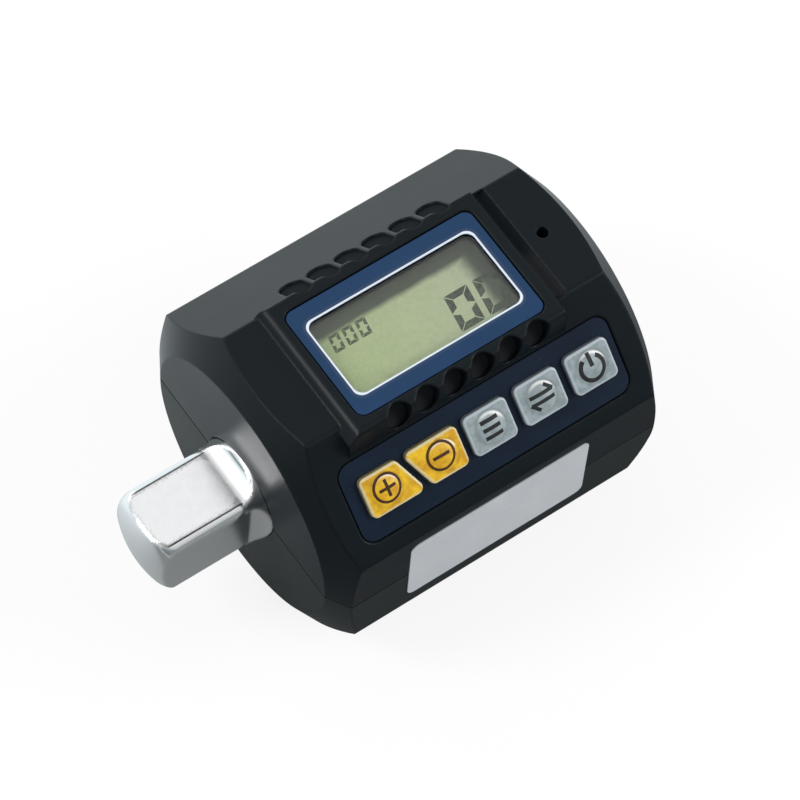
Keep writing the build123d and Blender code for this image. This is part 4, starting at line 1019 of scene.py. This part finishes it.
studio = {
    "floor": (250, 250, 250), "floorPale": (253, 253, 253), "floorGrain": 4, "floorRough": 0.9,
    "floorLevel": 0.1, "floorSize": 3.0, "floorCells": 24,
    "ambient": 0.42,
    "lamps": [  # place and size in metres, watts
        ((-0.6, 0.25, 0.75), 0.3, 4.4),
        ((0.8, -0.5, 0.55), 0.6, 7.5),
        ((-0.1, 0.85, 0.5), 0.6, 2.4),
    ],
    "aim": (0.03, 0, 0),
    "mirrored": 1.0,  # how bright the room looks in a reflection
    "paper": 0.85,  # how much of the floor is plain paper white, the rest takes light and shadow
    "sweep": (-24, 56), "sweepLow": 0.1,  # the paper seen in reflections darkens towards the near side
    "tint": (0.88, 0.97, 1.0, 1.0), "tintRise": (0.4, 0.8),  # low reflections are a little blue
    # the room's dark parts, by direction: two beams overhead, the near wall, the left and the lens
    "stripeEdge": (0.1, 0.16), "stripe": -0.02, "stripeRise": (0.6, 0.75),
    "farStripe": 0.68, "farRise": (0.45, 0.6), "farDark": 0.85,
    "nearEdge": (0.2, 0.5), "nearHigh": 0.35, "nearLow": 0.4,
    "nearRise": (0.4, 0.6), "nearFoot": (0.03, 0.1),
    "leftDark": 0.85, "leftEdge": (0.3, 0.7), "leftFoot": (0.02, 0.08), "leftTop": (0.16, 0.3),
    "lens": (0.965, 0.985),
}
view = {
    "place": (-160.68, -233.68, 555.02), "lens": 188.3, "sensor": 36, "nearest": 0.01,
    "right": (0.81965, -0.57115, 0.04428), "up": (0.48551, 0.73361, 0.47549),
    "back": (-0.30406, -0.36823, 0.87861),
}
plainWhite = (1, 1, 1, 1)


def buildFloor():
    mesh = bmesh.new()
    cells = studio["floorCells"]
    bmesh.ops.create_grid(mesh, x_segments=cells, y_segments=cells, size=studio["floorSize"])
    floor = placed("studioFloor", meshData("studioFloor", mesh))
    floor.location = (0, 0, cadBounds[0][2])
    finish = Finish("floorPaper")
    colour = finish.mix(finish.noise(studio["floorGrain"]), studio["floor"], studio["floorPale"])
    finish.shade(colour=colour, roughness=studio["floorRough"], level=studio["floorLevel"])
    seen, mirrored = finish.rays()
    y = finish.axes()[1]
    sweep = y.ramp(*studio["sweep"]) * (1 - studio["sweepLow"]) + studio["sweepLow"]
    tint = finish.mix(mirrored, plainWhite, studio["tint"])
    strength = seen + (1 - seen) * sweep
    paper = finish.add("ShaderNodeEmission", None, {"Color": tint, "Strength": strength})
    blend = finish.add("ShaderNodeMixShader", None, {
        0: seen.most(mirrored) * studio["paper"], 1: finish.shader.outputs[0], 2: paper.outputs[0],
    })
    finish.plug(finish.tree.nodes["Material Output"].inputs["Surface"], blend.outputs[0])
    floor.data.materials.append(finish.material)


def lightStudio():
    world = bpy.data.worlds.new("studioLight")
    bpy.context.scene.world = world
    world.use_nodes = True
    tree = Tree(world.node_tree)
    seen, mirrored = tree.rays()
    x, y, z = tree.split(tree.add("ShaderNodeTexCoord").outputs["Generated"])
    stripe = (1 - abs(y - studio["stripe"]).ramp(*studio["stripeEdge"])) * z.ramp(*studio["stripeRise"])
    farStripe = 1 - abs(y - studio["farStripe"]).ramp(*studio["stripeEdge"])
    farStripe = farStripe * z.ramp(*studio["farRise"])
    low = (1 - z.ramp(*studio["nearRise"])) * z.ramp(*studio["nearFoot"])
    near = (0 - y).ramp(*studio["nearEdge"]) * (studio["nearHigh"] + low * studio["nearLow"])
    left = (0 - x).ramp(*studio["leftEdge"]) * z.ramp(*studio["leftFoot"])
    left = left * (1 - z.ramp(*studio["leftTop"])) * studio["leftDark"]
    backX, backY, backZ = view["back"]
    lens = (x * backX + y * backY + z * backZ).ramp(*studio["lens"])
    dark = stripe.most(farStripe * studio["farDark"]).most(near).most(left).most(lens)
    room = studio["mirrored"] * (1 - dark)
    strength = seen.most(mirrored * room).most((1 - mirrored.most(seen)) * studio["ambient"])
    background = world.node_tree.nodes["Background"]
    tree.plug(background.inputs["Strength"], strength)
    bluish = mirrored * (1 - z.ramp(*studio["tintRise"]))
    tree.plug(background.inputs["Color"], tree.mix(bluish, plainWhite, studio["tint"]))
    for number, (place, size, watts) in enumerate(studio["lamps"]):
        lamp = bpy.data.lights.new(f"softLamp{number}", "AREA")
        lamp.size = size
        lamp.energy = watts
        holder = placed(lamp.name, lamp)
        holder.location = place
        towards = Vector(studio["aim"]) - Vector(place)
        holder.rotation_euler = towards.to_track_quat("-Z", "Y").to_euler()


def placeCamera():
    camera = bpy.data.cameras.new("photoView")
    camera.lens = view["lens"]
    camera.sensor_width = view["sensor"]
    camera.clip_start = view["nearest"]
    holder = placed("photoView", camera)
    turn = Matrix((view["right"], view["up"], view["back"])).transposed().to_4x4()
    holder.matrix_world = Matrix.Translation(Vector(view["place"]) * mm) @ turn
    bpy.context.scene.camera = holder
    bpy.context.scene.view_settings.view_transform = "Standard"


dressNodes()
dressKeys()
dressDisplay()
carveDoorScrew()
carveDriveEnd()
buildFloor()
lightStudio()
placeCamera()
print("studio ready")
